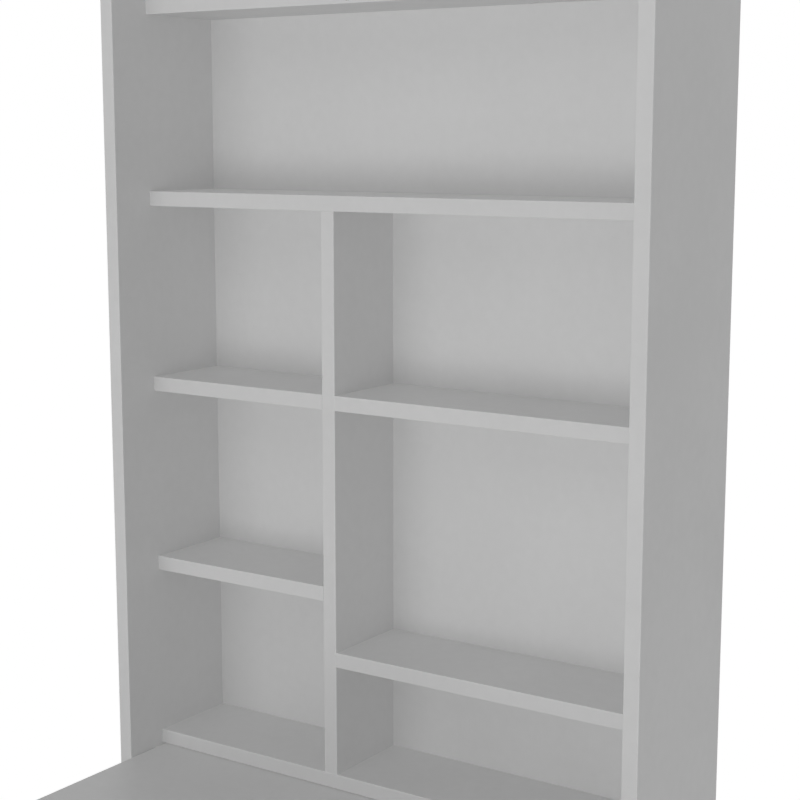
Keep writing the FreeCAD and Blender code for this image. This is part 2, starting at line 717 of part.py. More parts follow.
# Lower rail: stiffens the foot of the cabinet and takes two more wall screws
lower_rail = board("lower_rail", ("inner_left", "0 - rail_thickness", "bottom_under - lower_rail_height"),
                   ("inner_width", "rail_thickness", "lower_rail_height"))
LOWER_HOLES = [("rail_thickness / 2", "lower_rail_height - rail_dowel_inset"),
               ("rail_thickness / 2", "lower_rail_height - rail_dowel_inset - rail_dowel_spacing")]
for rail, holes in ((hanging_rail, RAIL_HOLES), (lower_rail, LOWER_HOLES)):
    drill(rail, "+X", "0", holes, "dowel_hole", "end_hole")
    drill(rail, "-X", "inner_width", holes, "dowel_hole", "end_hole")

# Wall cleat: screwed to the wall, with the bevel that the hanging rail drops on to
wall_cleat = new_body("wall_cleat")
pad(wall_cleat, polygon(wall_cleat, "X", "0", [("0", "0"), ("rail_thickness", "0"),
                                               ("rail_thickness", "cleat_height - rail_thickness"),
                                               ("0", "cleat_height")]), "cleat_length")
put(wall_cleat, "0 - cleat_length / 2", "0 - rail_thickness", "0 - cleat_screw_height")
pieces.append(wall_cleat)
for body, length, level in ((wall_cleat, "cleat_length", "cleat_screw_height"),
                            (lower_rail, "inner_width", "lower_rail_height / 2")):
    countersink(body, "+Y", "0", [("(%s - wall_screw_spacing) / 2" % length, level),
                                  ("(%s + wall_screw_spacing) / 2" % length, level)],
                "wall_screw_hole", "wall_screw_sink")

# Dowels: along X between the boards' ends and faces, and along Z at the divider's ends
dowel = rod("dowel", "dowel_diameter", "dowel_length", "dowel_chamfer")
FRONT_PLACE = "shelf_front + front_fix"
REAR_PLACE = "shelf_front + rear_place"
SIDE_STARTS = {"left": ("+X", "inner_left - dowel_in_face"), "right": ("-X", "dowel_in_face - inner_left")}
DIVIDER_STARTS = {"left": ("-X", "divider_left + dowel_in_face"),
                  "right": ("+X", "divider_right - dowel_in_face")}
dowels = []
for side, (into, start) in SIDE_STARTS.items():
    for under in MAIN_LEVELS:
        dowels.append((dowel, turned(into), (start, REAR_PLACE, under + " + half_board")))
    for under in ("middle_under", side + "_low_under"):
        for place in (FRONT_PLACE, REAR_PLACE):
            dowels.append((dowel, turned(into), (start, place, under + " + half_board")))
    for top in RAIL_TOPS:
        for level in (top + " - rail_dowel_inset", top + " - rail_dowel_inset - rail_dowel_spacing"):
            dowels.append((dowel, turned(into), (start, "0 - rail_thickness / 2", level)))
for side, (into, start) in DIVIDER_STARTS.items():
    for place in (FRONT_PLACE, REAR_PLACE):
        dowels.append((dowel, turned(into), (start, place, side + "_low_under + half_board")))
DIVIDER_MIDDLE = "divider_left + half_board"
dowels.append((dowel, turned("-Z"), (DIVIDER_MIDDLE, REAR_PLACE, "full_under + dowel_in_face")))
dowels.append((dowel, turned("+Z"), (DIVIDER_MIDDLE, REAR_PLACE, "bottom_top - dowel_in_face")))
group("shelf_dowels", dowels)

through_dowel = rod("through_dowel", "dowel_diameter", "through_dowel_length", "dowel_chamfer")
group("through_dowels",
      [(through_dowel, turned("+X"), ("divider_left - through_in_end", place, "middle_under + half_board"))
       for place in (FRONT_PLACE, REAR_PLACE)])

# Cam nuts, cam bolts and cover caps: each cam has its face, the way its bolt points, and its centre
cam_nut = new_body("cam_nut")
pad(cam_nut, circles(cam_nut, "Z", "0", [("0", "0")], "cam_diameter"), "cam_height")
cross_slot(cam_nut, "cam_slot_length", "cam_slot_width", "cam_slot_depth")
cross_slot(cam_nut, "cam_slot_width", "cam_slot_length", "cam_slot_depth")
drill(cam_nut, "-X", "cam_diameter / 2", [("0", "half_board")], "cam_bolt_hole",
      "cam_diameter / 2 + cam_head_length")
CAM_BOLT_RADIUS = "cam_bolt_diameter / 2"
CAM_NECK_END = "cam_head_length + cam_neck_length"
CAM_BOLT_SEAT = "cam_head_length / 2 + cam_inset"
cam_bolt = spun("cam_bolt", [("0", "0"), (CAM_BOLT_RADIUS, "0"), (CAM_BOLT_RADIUS, "cam_head_length"),
                             ("cam_neck_diameter / 2", "cam_head_length"),
                             ("cam_neck_diameter / 2", CAM_NECK_END), (CAM_BOLT_RADIUS, CAM_NECK_END),
                             (CAM_BOLT_RADIUS, CAM_BOLT_SEAT), ("cam_thread_diameter / 2", CAM_BOLT_SEAT),
                             ("cam_thread_diameter / 2", "cam_bolt_length"), ("0", "cam_bolt_length")])
CAP_RADIUS = "cam_diameter / 2 + cam_cap_overlap"
cam_cap = spun("cam_cap", [("0", "0"), (CAP_RADIUS, "0"),
                           (CAP_RADIUS + " - cam_cap_thickness", "cam_cap_thickness"),
                           ("0", "cam_cap_thickness")])

cam_nuts, cam_bolts, cam_caps = [], [], []
for under, face, opens, capped in (("top_under", "top_under + board_thickness", "+Z", True),
                                   ("full_under", "full_under", "-Z", True),
                                   ("bottom_under", "bottom_under", "-Z", False)):
    into = "-Z" if opens == "+Z" else "+Z"
    for way, centre, head_end in (("-X", "inner_left + cam_inset", " + cam_head_length / 2"),
                                  ("+X", "0 - inner_left - cam_inset", " - cam_head_length / 2")):
        start = centre + head_end
        cam_nuts.append((cam_nut, turned(into, way), (centre, FRONT_PLACE, face)))
        cam_bolts.append((cam_bolt, turned(way, "+Y"), (start, FRONT_PLACE, under + " + half_board")))
        if capped:
            cam_caps.append((cam_cap, turned(opens), (centre, FRONT_PLACE, face)))
for way, level, head_end in (("+Z", "full_under - cam_inset", " - cam_head_length / 2"),
                             ("-Z", "bottom_top + cam_inset", " + cam_head_length / 2")):
    start = level + head_end
    cam_nuts.append((cam_nut, turned("+X", way), ("divider_left", FRONT_PLACE, level)))
    cam_bolts.append((cam_bolt, turned(way), (DIVIDER_MIDDLE, FRONT_PLACE, start)))
    cam_caps.append((cam_cap, turned("-X", "+Y"), ("divider_left", FRONT_PLACE, level)))
group("cam_nuts", cam_nuts)
group("cam_bolts", cam_bolts)
group("cam_caps", cam_caps)

# Catch magnets: pressed into the top panel's front edge
magnet = rod("catch_magnet", "magnet_diameter", "magnet_length", "magnet_chamfer")
group("catch_magnets",
      [(magnet, turned("+Y"), ("inner_left + " + place, "shelf_front - magnet_proud",
                               "top_under + half_board")) for place in MAGNET_PLACES])


# Felt pads: a pair that the open desk's tail bears on, and a pair that the folded leg frame rests on
def felt_pad(name, diameter, thickness):
    """A thin felt disc with its glued face up."""
    radius = diameter + " / 2"
    return spun(name, [("0", "0"), (radius + " - pad_chamfer", "0"), (radius, "pad_chamfer"),
                       (radius, thickness), ("0", thickness)])


stop_pad = felt_pad("desk_stop_pad", "stop_pad_diameter", "stop_pad_thickness")
group("desk_stop_pads",
      [(stop_pad, turned("+Z"), (place, "pivot_back + stop_pad_reach", "bottom_under - stop_pad_thickness"))
       for place in ("desk_left + stop_pad_inset", "0 - desk_left - stop_pad_inset")])
rest_pad = felt_pad("leg_rest_pad", "rest_pad_diameter", "rest_pad_thickness")
group("leg_rest_pads",
      [(rest_pad, turned("+Z"), (place, "rest_pad_back", "desk_under - rest_pad_thickness"))
       for place in ("leg_left + post_width / 2", "0 - leg_left - post_width / 2")])

# Desk panel: one board that turns on a pin in each of its long edges
desk = board("desk_panel", ("desk_left", "desk_free", "desk_under"),
             ("desk_width", "desk_length", "desk_thickness"))
round_edges(desk, "desk_edge_radius", *ALL_EDGES)
for into, level in (("+X", "0"), ("-X", "desk_width")):
    drill(desk, into, level, [("desk_reach", "desk_thickness / 2")],
          "pin_diameter + 2 * pin_fit", "pin_in_desk + pin_fit")
STRIKE_PLACES = ("(desk_width - magnet_spacing) / 2", "(desk_width + magnet_spacing) / 2")
strikes = [(place, "strike_from_free") for place in STRIKE_PLACES]
drill(desk, "-Z", "desk_thickness", strikes, "strike_diameter + 2 * strike_fit", "strike_thickness")
drill(desk, "-Z", "desk_thickness - strike_thickness", strikes, "strike_screw_diameter + 2 * screw_fit",
      "strike_screw_length - strike_thickness + dowel_end_play")
APRON_SCREW_STEPS = ("0 - apron_screw_step", "0", "apron_screw_step")
drill(desk, "+Z", "0", [("desk_width / 2 + %s" % step, "apron_thickness / 2") for step in APRON_SCREW_STEPS],
      "apron_screw_diameter + 2 * screw_fit", "apron_screw_bite + dowel_end_play")
BRACKET_SCREWS = (("bracket_thickness + bracket_screw_side", "bracket_screw_edge"),
                  ("bracket_thickness + bracket_screw_side", "bracket_length - bracket_screw_edge"),
                  ("bracket_width - bracket_screw_edge", "bracket_length / 2"))
bracket_screw_places = []
for across, along in BRACKET_SCREWS:
    place = "bracket_side + " + across
    for each in (place, mirrored(place, "desk_width")):
        bracket_screw_places.append((each, "bracket_start + " + along))
drill(desk, "+Z", "0", bracket_screw_places, "bracket_screw_diameter + 2 * screw_fit",
      "bracket_screw_length - bracket_thickness + dowel_end_play")

# Pivot pins in the desk's edges, and the flanged bushes that carry them in the side panels
for side, into, out_of, pin_start, bush_start in (
        ("left", "+X", "-X", "inner_left - pin_in_side", "inner_left + bush_flange_thickness"),
        ("right", "-X", "+X", "pin_in_side - inner_left", "0 - inner_left - bush_flange_thickness")):
    kept(rod(side + "_pivot_pin", "pin_diameter", "pin_length", "pin_chamfer"),
         turned(into, "+Y"), (pin_start, "pivot_back", "pivot_level"))
    bush = spun(side + "_pivot_bush",
                [("bush_bore_radius", "0"), ("bush_flange_radius", "0"),
                 ("bush_flange_radius", "bush_flange_thickness"), ("bush_radius", "bush_flange_thickness"),
                 ("bush_radius", "bush_flange_thickness + bush_sleeve"),
                 ("bush_bore_radius", "bush_flange_thickness + bush_sleeve")])
    kept(bush, turned(out_of, "+Y"), (bush_start, "pivot_back", "pivot_level"))

# Strike plates for the magnets, let into the desk's upper face
strike_plate = new_body("strike_plate")
pad(strike_plate, circles(strike_plate, "Z", "0", [("0", "0")], "strike_diameter"), "strike_thickness")
countersink(strike_plate, "-Z", "strike_thickness", [("0", "0")], "strike_screw_diameter + 2 * screw_fit",
            "strike_screw_head + 2 * screw_fit")
group("strike_plates",
      [(strike_plate, turned("+Z"), ("desk_left + " + place, "desk_free + strike_from_free",
                                     "desk_top - strike_thickness")) for place in STRIKE_PLACES])
strike_screw = wood_screw("strike_screw", "strike_screw_diameter", "strike_screw_head", "strike_screw_length")
group("strike_screws",
      [(strike_screw, turned("-Z"), ("desk_left + " + place, "desk_free + strike_from_free", "desk_top"))
       for place in STRIKE_PLACES])

# Apron: a rail under the free end of the desk, and the stop for the deployed leg frame
apron = board("desk_apron", ("leg_left", "desk_free", "desk_under - apron_height"),
              ("leg_width", "apron_thickness", "apron_height"))
round_edges(apron, "leg_edge_radius", ("X", {"Z": "low"}), ("Y", {"Z": "low"}), ("Z", {}))
countersink(apron, "+Z", "0",
            [("leg_width / 2 + %s" % step, "apron_thickness / 2") for step in APRON_SCREW_STEPS],
            "apron_screw_diameter + 2 * screw_fit", "apron_screw_head + 2 * screw_fit")
apron_screw = wood_screw("apron_screw", "apron_screw_diameter", "apron_screw_head", "apron_screw_length")
group("apron_screws",
      [(apron_screw, turned("+Z"), (step, "desk_free + apron_thickness / 2", "desk_under - apron_height"))
       for step in APRON_SCREW_STEPS])

# Leg brackets: bent steel angles under the desk, each with an ear for a pivot bolt
FLANGE_LOW = "bracket_height - bracket_thickness"
LEFT_ANGLE = [("0", "0"), ("bracket_thickness", "0"), ("bracket_thickness", FLANGE_LOW),
              ("bracket_width", FLANGE_LOW), ("bracket_width", "bracket_height"), ("0", "bracket_height")]
RIGHT_ANGLE = [("0", FLANGE_LOW), ("bracket_flange", FLANGE_LOW), ("bracket_flange", "0"),
               ("bracket_width", "0"), ("bracket_width", "bracket_height"), ("0", "bracket_height")]
bracket_screw = wood_screw("bracket_screw", "bracket_screw_diameter", "bracket_screw_head",
                           "bracket_screw_length")
bracket_screws = []
for side, angle, ear, into, bracket_left in (
        ("left", LEFT_ANGLE, "0", "+X", "desk_left + bracket_side"),
        ("right", RIGHT_ANGLE, "bracket_width", "-X", "0 - desk_left - bracket_side - bracket_width")):
    bracket = new_body(side + "_leg_bracket")
    pad(bracket, polygon(bracket, "Y", "0", angle), "bracket_length", reverse=True)
    round_edges(bracket, "bracket_corner", ("X", {"Z": "low"}))
    outer = "low" if side == "left" else "high"
    round_edges(bracket, "bracket_bend", ("Y", {"Z": "high", "X": outer}))
    drill(bracket, into, ear, [("bracket_front", "bracket_below")],
          "leg_bolt_diameter + 2 * washer_fit", "bracket_thickness")
    screws = BRACKET_SCREWS
    if side == "right":
        screws = [(mirrored(across, "bracket_width"), along) for across, along in BRACKET_SCREWS]
    countersink(bracket, "+Z", FLANGE_LOW, screws, "bracket_screw_diameter + 2 * screw_fit",
                "bracket_screw_head + 2 * screw_fit")
    put(bracket, bracket_left, "desk_free + bracket_start", "desk_under - bracket_height")
    pieces.append(bracket)
    for across, along in screws:
        bracket_screws.append((bracket_screw, turned("+Z"),
                               (bracket_left + " + " + across, "desk_free + bracket_start + " + along,
                                "desk_under - bracket_thickness")))
group("bracket_screws", bracket_screws)

# Pivot bolts with their washers and lock nuts
BOLT_RADIUS = "leg_bolt_diameter / 2"
HEAD_RADIUS = "leg_bolt_head_diameter / 2"
BOLT_LENGTH = "leg_bolt_head_height + leg_bolt_shank"
leg_bolt = spun("leg_pivot_bolt",
                [("0", "0"), (HEAD_RADIUS + " - leg_bolt_head_chamfer", "0"),
                 (HEAD_RADIUS, "leg_bolt_head_chamfer"), (HEAD_RADIUS, "leg_bolt_head_height"),
                 (BOLT_RADIUS, "leg_bolt_head_height"), (BOLT_RADIUS, BOLT_LENGTH), ("0", BOLT_LENGTH)])
pocket(leg_bolt, hexagon(leg_bolt, "0", "leg_bolt_socket"), "+Z", "leg_bolt_socket_depth")
WASHER_BORE = "leg_bolt_diameter / 2 + washer_fit"
washer = spun("leg_pivot_washer", [(WASHER_BORE, "0"), ("washer_diameter / 2", "0"),
                                   ("washer_diameter / 2", "washer_thickness"),
                                   (WASHER_BORE, "washer_thickness")])
nut = new_body("leg_pivot_nut")
pad(nut, hexagon(nut, "0", "nut_across_flats"), "nut_hex_height")
pad(nut, circles(nut, "Z", "nut_hex_height", [("0", "0")],
                 "leg_bolt_diameter + 2 * pin_fit + 2 * nut_collar_wall"), "nut_collar_height")
drill(nut, "-Z", "nut_hex_height + nut_collar_height", [("0", "0")], "leg_bolt_diameter + 2 * pin_fit",
      "nut_hex_height + nut_collar_height")
leg_bolts, washers, nuts = [], [], []
for into, sign in (("+X", ""), ("-X", "0 - ")):
    start = "leg_left - washer_play - washer_thickness"
    inner = "leg_left + post_width + washer_play"
    for store, pattern, place in ((leg_bolts, leg_bolt, start + " - leg_bolt_head_height"),
                                  (washers, washer, start), (washers, washer, inner),
                                  (nuts, nut, inner + " + washer_thickness + bracket_thickness")):
        spot = (sign + "(%s)" % place, "leg_axis_back", "leg_axis_level")
        store.append((pattern, turned(into, "+Y"), spot))
group("leg_pivot_bolts", leg_bolts)
group("leg_pivot_washers", washers)
group("leg_pivot_nuts", nuts)


# Leg posts: round at the top about the pivot bolt, with a levelling foot's insert in the lower end
def post_outline(body):
    """A post's outline: straight sides and a half circle about the pivot."""
    sketch = new_sketch(body, "X", "0")
    corners = [FreeCAD.Vector(), AXES["X"] * 2, AXES["X"] * 2 + AXES["Y"] * 4, AXES["Y"] * 4]
    sketch.addGeometry(Part.LineSegment(corners[0], corners[1]))
    sketch.addGeometry(Part.LineSegment(corners[1], corners[2]))
    top = Part.ArcOfCircle(Part.Circle(AXES["X"] + AXES["Y"] * 4, AXES["Z"], 1), 0, math.pi)
    sketch.addGeometry(top)
    sketch.addGeometry(Part.LineSegment(corners[3], corners[0]))
    for constraint in (("Coincident", 0, 2, 1, 1), ("Tangent", 1, 2, 2, 1), ("Tangent", 2, 2, 3, 1),
                       ("Coincident", 3, 2, 0, 1), ("Coincident", 0, 1, -1, 1), ("Horizontal", 0),
                       ("Vertical", 1), ("Vertical", 3)):
        sketch.addConstraint(Sketcher.Constraint(*constraint))
    hold(sketch, 2, 3, "pivot_", "leg_thickness / 2", "post_axis")
    return sketch


RAIL_LOWS = ("top_rail_low", "foot_rail_low")
DOWEL_LEVELS = ("leg_dowel_low", "leg_dowel_high")
for side, post_left, face, into in (("left", "leg_left", "post_width", "-X"),
                                    ("right", "0 - leg_left - post_width", "0", "+X")):
    post = new_body(side + "_leg_post")
    pad(post, post_outline(post), "post_width")
    round_edges(post, "leg_edge_radius", ("Z", {}))
    drill(post, "+X", "0", [("leg_thickness / 2", "post_axis")], "leg_bolt_hole", "post_width")
    drill(post, into, face, [("leg_thickness / 2", "%s + %s - post_low" % (low, level))
                             for low in RAIL_LOWS for level in DOWEL_LEVELS], "dowel_hole", "leg_post_hole")
    middle = [("post_width / 2", "leg_thickness / 2")]
    drill(post, "+Z", "0", middle, "insert_bore", "foot_hole_depth")
    drill(post, "+Z", "0", middle, "insert_hole", "insert_length + dowel_end_play")
    drill(post, "+Z", "0", middle, "insert_flange_hole", "insert_flange_thickness")
    put(post, post_left, "leg_front", "post_low")
    pieces.append(post)

# Leg rails: the upper and lower cross pieces, dowelled between the posts
for name, low in (("leg_top_rail", "top_rail_low"), ("leg_foot_rail", "foot_rail_low")):
    rail = board(name, ("leg_left + post_width", "leg_front", low),
                 ("leg_rail_length", "leg_thickness", "leg_rail_height"))
    round_edges(rail, "leg_edge_radius", ("X", {}))
    for into, level in (("+X", "0"), ("-X", "leg_rail_length")):
        drill(rail, into, level, [("leg_thickness / 2", each) for each in DOWEL_LEVELS],
              "dowel_hole", "leg_end_hole")
leg_dowel = rod("leg_dowel", "dowel_diameter", "leg_dowel_length", "dowel_chamfer")
LEG_DOWEL_STARTS = (("+X", "leg_left + post_width - leg_dowel_depth"),
                    ("-X", "leg_dowel_depth - leg_left - post_width"))
group("leg_dowels",
      [(leg_dowel, turned(into, "+Y"), (start, "leg_axis_back", "%s + %s" % (low, level)))
       for into, start in LEG_DOWEL_STARTS for low in RAIL_LOWS for level in DOWEL_LEVELS])

# Levelling feet: a threaded stem in an insert, on a broad disc
FOOT_PLACES = ("leg_left + post_width / 2", "0 - leg_left - post_width / 2")
insert = spun("foot_insert", [("insert_bore / 2", "0"), ("insert_flange_diameter / 2", "0"),
                              ("insert_flange_diameter / 2", "insert_flange_thickness"),
                              ("insert_diameter / 2", "insert_flange_thickness"),
                              ("insert_diameter / 2", "insert_length"), ("insert_bore / 2", "insert_length")])
group("foot_inserts", [(insert, turned("+Z"), (place, "leg_axis_back", "post_low")) for place in FOOT_PLACES])
FOOT_RADIUS = "foot_disc_diameter / 2"
STEM_TOP = "foot_disc_thickness + foot_stem_length"
for side, place in zip(("left", "right"), FOOT_PLACES):
    foot = spun(side + "_levelling_foot",
                [("0", "0"), (FOOT_RADIUS + " - foot_disc_chamfer", "0"), (FOOT_RADIUS, "foot_disc_chamfer"),
                 (FOOT_RADIUS, "foot_disc_thickness"), ("foot_stem_diameter / 2", "foot_disc_thickness"),
                 ("foot_stem_diameter / 2", STEM_TOP), ("0", STEM_TOP)])
    kept(foot, turned("+Z"), (place, "leg_axis_back", "floor_level"))

# Every object is tested before anything is written
document.recompute()
for item in document.Objects:
    if "Invalid" in item.State or "Error" in item.State:
        raise RuntimeError("%s failed: %s" % (item.Label, item.State))
for piece in pieces:
    if piece.Shape.isNull() or not piece.Shape.isValid() or not piece.Shape.Solids:
        raise RuntimeError("%s has no valid solid" % piece.Label)

os.makedirs("parts", exist_ok=True)
for piece in pieces:
    piece.Shape.exportStep("parts/%s.step" % piece.Label)
    print(piece.Label, len(piece.Shape.Solids), round(piece.Shape.Volume))
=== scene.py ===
"""A fold down wall desk: a shelf cabinet that hangs on a wall, a desk that turns down out of its front, and
a leg frame that unfolds from under the desk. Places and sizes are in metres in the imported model's frame,
with X to the right, Y into the wall and Z up. The pieces come in the order that they are put together."""

import math

import bpy
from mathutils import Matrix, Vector


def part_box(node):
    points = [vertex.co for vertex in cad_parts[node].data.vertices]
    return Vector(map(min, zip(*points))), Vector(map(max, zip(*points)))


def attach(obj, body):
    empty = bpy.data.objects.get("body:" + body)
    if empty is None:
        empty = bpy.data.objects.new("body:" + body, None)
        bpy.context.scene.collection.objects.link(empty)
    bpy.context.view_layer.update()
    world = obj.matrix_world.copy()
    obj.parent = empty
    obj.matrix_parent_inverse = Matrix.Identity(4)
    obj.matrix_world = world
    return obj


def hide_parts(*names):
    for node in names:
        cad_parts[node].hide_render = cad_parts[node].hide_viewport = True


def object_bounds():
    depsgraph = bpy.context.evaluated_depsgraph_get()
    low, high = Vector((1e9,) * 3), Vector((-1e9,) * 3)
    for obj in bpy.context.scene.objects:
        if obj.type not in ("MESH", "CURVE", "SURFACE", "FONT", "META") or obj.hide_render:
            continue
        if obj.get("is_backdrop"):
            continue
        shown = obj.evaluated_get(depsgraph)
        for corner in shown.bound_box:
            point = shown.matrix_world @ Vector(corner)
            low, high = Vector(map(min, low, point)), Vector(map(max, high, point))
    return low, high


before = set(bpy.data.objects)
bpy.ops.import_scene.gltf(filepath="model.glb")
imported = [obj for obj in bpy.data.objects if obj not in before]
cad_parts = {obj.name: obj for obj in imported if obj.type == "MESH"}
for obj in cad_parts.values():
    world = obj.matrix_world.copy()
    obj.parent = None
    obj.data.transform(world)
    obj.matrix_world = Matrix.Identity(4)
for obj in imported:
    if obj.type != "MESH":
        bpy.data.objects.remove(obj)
cad_low, cad_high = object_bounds()


# Side panels: two full height boards that carry all the others, on dowels and cam bolts in their inner
# faces. They are fibreboard, sprayed all round with a satin light grey lacquer that dries with a faint
# orange peel and rubs a little paler along its softened edges.
class Tone:
    """A value that changes over a surface: a sum of tones adds its own Math nodes to their material."""

    def __init__(self, tree, socket):
        self.tree = tree
        self.socket = socket

    @staticmethod
    def pick(sockets, key):
        """The socket with a name or a number, among those that are in use."""
        used = [socket for socket in sockets if socket.enabled]
        names = [socket.name for socket in used]
        return used[key if isinstance(key, int) else names.index(key)]

    def node(self, kind, settings, sockets, output=0):
        """Adds a node, with its settings first and then its sockets, and gives one of its outputs."""
        made = self.tree.nodes.new("ShaderNode" + kind)
        for name, value in settings.items():
            setattr(made, name, value)
        for key, value in sockets.items():
            socket = self.pick(made.inputs, key)
            if isinstance(value, Tone):
                self.tree.links.new(value.socket, socket)
            else:
                socket.default_value = value
        return Tone(self.tree, self.pick(made.outputs, output)) if made.outputs else None

    def math(self, operation, *values):
        return self.node("Math", {"operation": operation}, dict(enumerate(values)))

    def __add__(self, other):
        return self.math("ADD", self, other)

    def __radd__(self, other):
        return self.math("ADD", other, self)

    def __sub__(self, other):
        return self.math("SUBTRACT", self, other)

    def __rsub__(self, other):
        return self.math("SUBTRACT", other, self)

    def __mul__(self, other):
        return self.math("MULTIPLY", self, other)

    def __rmul__(self, other):
        return self.math("MULTIPLY", other, self)

    def __abs__(self):
        return self.math("ABSOLUTE", self)

    def least(self, other):
        return self.math("MINIMUM", self, other)

    def most(self, other):
        return self.math("MAXIMUM", self, other)


def blank(name):
    """An empty material, and its Object coordinates as the first tone."""
    material = bpy.data.materials.new(name)
    material.use_nodes = True
    tree = material.node_tree
    tree.nodes.clear()
    return material, Tone(tree, tree.nodes.new("ShaderNodeTexCoord").outputs["Object"])


def along(place, axis):
    """How far along an axis a place is: 0 is X, 1 is Y and 2 is Z."""
    return place.node("SeparateXYZ", {}, {0: place}, axis)


def rise(tone, low, high):
    """0 up to the low value, 1 from the high one on, and a smooth step between them."""
    return tone.node("MapRange", {"interpolation_type": "SMOOTHSTEP"},
                     {"Value": tone, "From Min": low, "From Max": high})


def noise(place, size, detail=2.0):
    """Soft spots from 0 to 1, of one size in metres or of three along X, Y and Z."""
    if isinstance(size, tuple):
        shrink = tuple(1 / each for each in size)
        place = place.node("VectorMath", {"operation": "MULTIPLY"}, {0: place, 1: shrink})
        size = 1.0
    return place.node("TexNoise", {}, {"Vector": place, "Scale": 1 / size, "Detail": detail})


def mix(factor, first, second):
    """One colour where the factor is 0 and another where it is 1."""
    return factor.node("Mix", {"data_type": "RGBA"}, {"Factor": factor, "A": first, "B": second})


def grey(level):
    """A neutral colour."""
    return (level, level, level, 1.0)


def bump(height, depth, strength):
    """The surface normal of a fine relief."""
    return height.node("Bump", {}, {"Strength": strength, "Distance": depth, "Height": height})


def coat(place, **sockets):
    """Ends a material with its shader, whose sockets are written with _ for a space."""
    named = {name.replace("_", " "): value for name, value in sockets.items()}
    surface = place.node("BsdfPrincipled", {}, named)
    place.node("OutputMaterial", {}, {"Surface": surface})


def dress(material, *nodes):
    """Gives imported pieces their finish."""
    for node in nodes:
        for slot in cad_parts[node].material_slots:
            slot.material = material


LACQUER_GREY = 0.55
LACQUER_STRAY = 0.024
LACQUER_ROUGH = 0.44
LACQUER_GLOSS = 0.3
CLOUD_SIZE = 0.16
CLOUD_SHARE = 0.65
CLOUD_RANGE = (0.32, 0.68)
CLOUD_DEPTH = 0.85
SPRAY_SPOT = 0.011
SHEEN_PATCH = 0.045
SHEEN_STRAY = 0.1
PEEL_SIZE = 0.0016
PEEL_RELIEF = (0.00008, 0.35)
RUBBED_EDGE = (0.0005, 0.0022)
RUB_PATCH = 0.03
RUB_RANGE = (0.42, 0.62)
RUB_PALER = 0.3
RUB_ROUGHER = 0.06


def clouds(place):
    """Where the coat dried thinner or thicker: broad clouds, with small spots in them."""
    spots = noise(place, CLOUD_SIZE, 3.0) * CLOUD_SHARE + noise(place, SPRAY_SPOT) * (1 - CLOUD_SHARE)
    return rise(spots, *CLOUD_RANGE)


def sprayed(amount):
    """The lacquer's grey, from its darker to its paler stray."""
    return mix(amount, grey(LACQUER_GREY * (1 - LACQUER_STRAY)), grey(LACQUER_GREY * (1 + LACQUER_STRAY)))


def sheen(place):
    """The lacquer's roughness, which drifts a little over a board."""
    return LACQUER_ROUGH + noise(place, SHEEN_PATCH) * SHEEN_STRAY


def edge_distance(place, node):
    """How far a place on a board is from the nearest edge of the board's own box."""
    low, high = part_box(node)
    inside = []
    for axis in range(3):
        middle = (low[axis] + high[axis]) / 2
        inside.append(high[axis] - middle - abs(along(place, axis) - middle))
    return inside[0].least(inside[1]).most(inside[0].most(inside[1]).least(inside[2]))


def lacquer(node, polish=None):
    """The sprayed lacquer of one board, rubbed in patches along its edges."""
    material, place = blank("lacquer_" + node)
    at_edge = 1 - rise(edge_distance(place, node), *RUBBED_EDGE)
    rubbed = at_edge * rise(noise(place, RUB_PATCH), *RUB_RANGE)
    rough = sheen(place) + rubbed * RUB_ROUGHER
    if polish:
        rough = rough - polish(place)
    coat(place, Base_Color=sprayed(clouds(place) * CLOUD_DEPTH + rubbed * RUB_PALER), Roughness=rough,
         Normal=bump(noise(place, PEEL_SIZE, 1.0), *PEEL_RELIEF), Specular_IOR_Level=LACQUER_GLOSS)
    return material


for node in ("left_side_panel", "right_side_panel"):
    dress(lacquer(node), node)


# Shelves, top panel and divider: boards of the same lacquered fibreboard between the side panels. Dowels,
# cams and screws join them, in holes in their ends, rear edges and least seen faces.
for node in ("top_panel", "full_width_shelf", "left_middle_shelf", "left_lower_shelf", "right_middle_shelf",
             "right_lower_shelf", "bottom_shelf", "vertical_divider"):
    dress(lacquer(node), node)


# Back panel: a thin fibreboard that slides into grooves and stiffens the cabinet. Its front is lacquered
# as the boards are, and its rear only sealed, so that the pressed fibres show through a duller coat.
SEALED_GREY = 0.47
SEALED_STRAY = (0.9, 1.06)
SEALED_ROUGHER = 0.22
FIBRE_LENGTH = 0.004
FIBRE_WIDTH = 0.0005
FIBRE_RANGE = (0.5, 0.8)
FIBRE_SHARE = 0.6
BACK_RELIEF = (0.00008, 0.4)


def back_board(node):
    """Lacquer in front and sealed fibreboard behind, which meet inside the board's thickness."""
    material, place = blank("lacquer_" + node)
    low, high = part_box(node)
    rear = rise(along(place, 1), (2 * low.y + high.y) / 3, (low.y + 2 * high.y) / 3)
    cloud = clouds(place)
    level = noise(place, (FIBRE_LENGTH, FIBRE_LENGTH, FIBRE_WIDTH), 3.0)
    upright = noise(place, (FIBRE_WIDTH, FIBRE_LENGTH, FIBRE_LENGTH), 3.0)
    fibre = rise(level.most(upright), *FIBRE_RANGE)
    darker, paler = [grey(SEALED_GREY * stray) for stray in SEALED_STRAY]
    sealed = mix(fibre * FIBRE_SHARE + cloud * (1 - FIBRE_SHARE), darker, paler)
    relief = noise(place, PEEL_SIZE, 1.0) * (1 - rear) + fibre * rear
    coat(place, Base_Color=mix(rear, sprayed(cloud * CLOUD_DEPTH), sealed),
         Roughness=sheen(place) + rear * SEALED_ROUGHER, Normal=bump(relief, *BACK_RELIEF),
         Specular_IOR_Level=LACQUER_GLOSS)
    return material


dress(back_board("back_panel"), "back_panel")


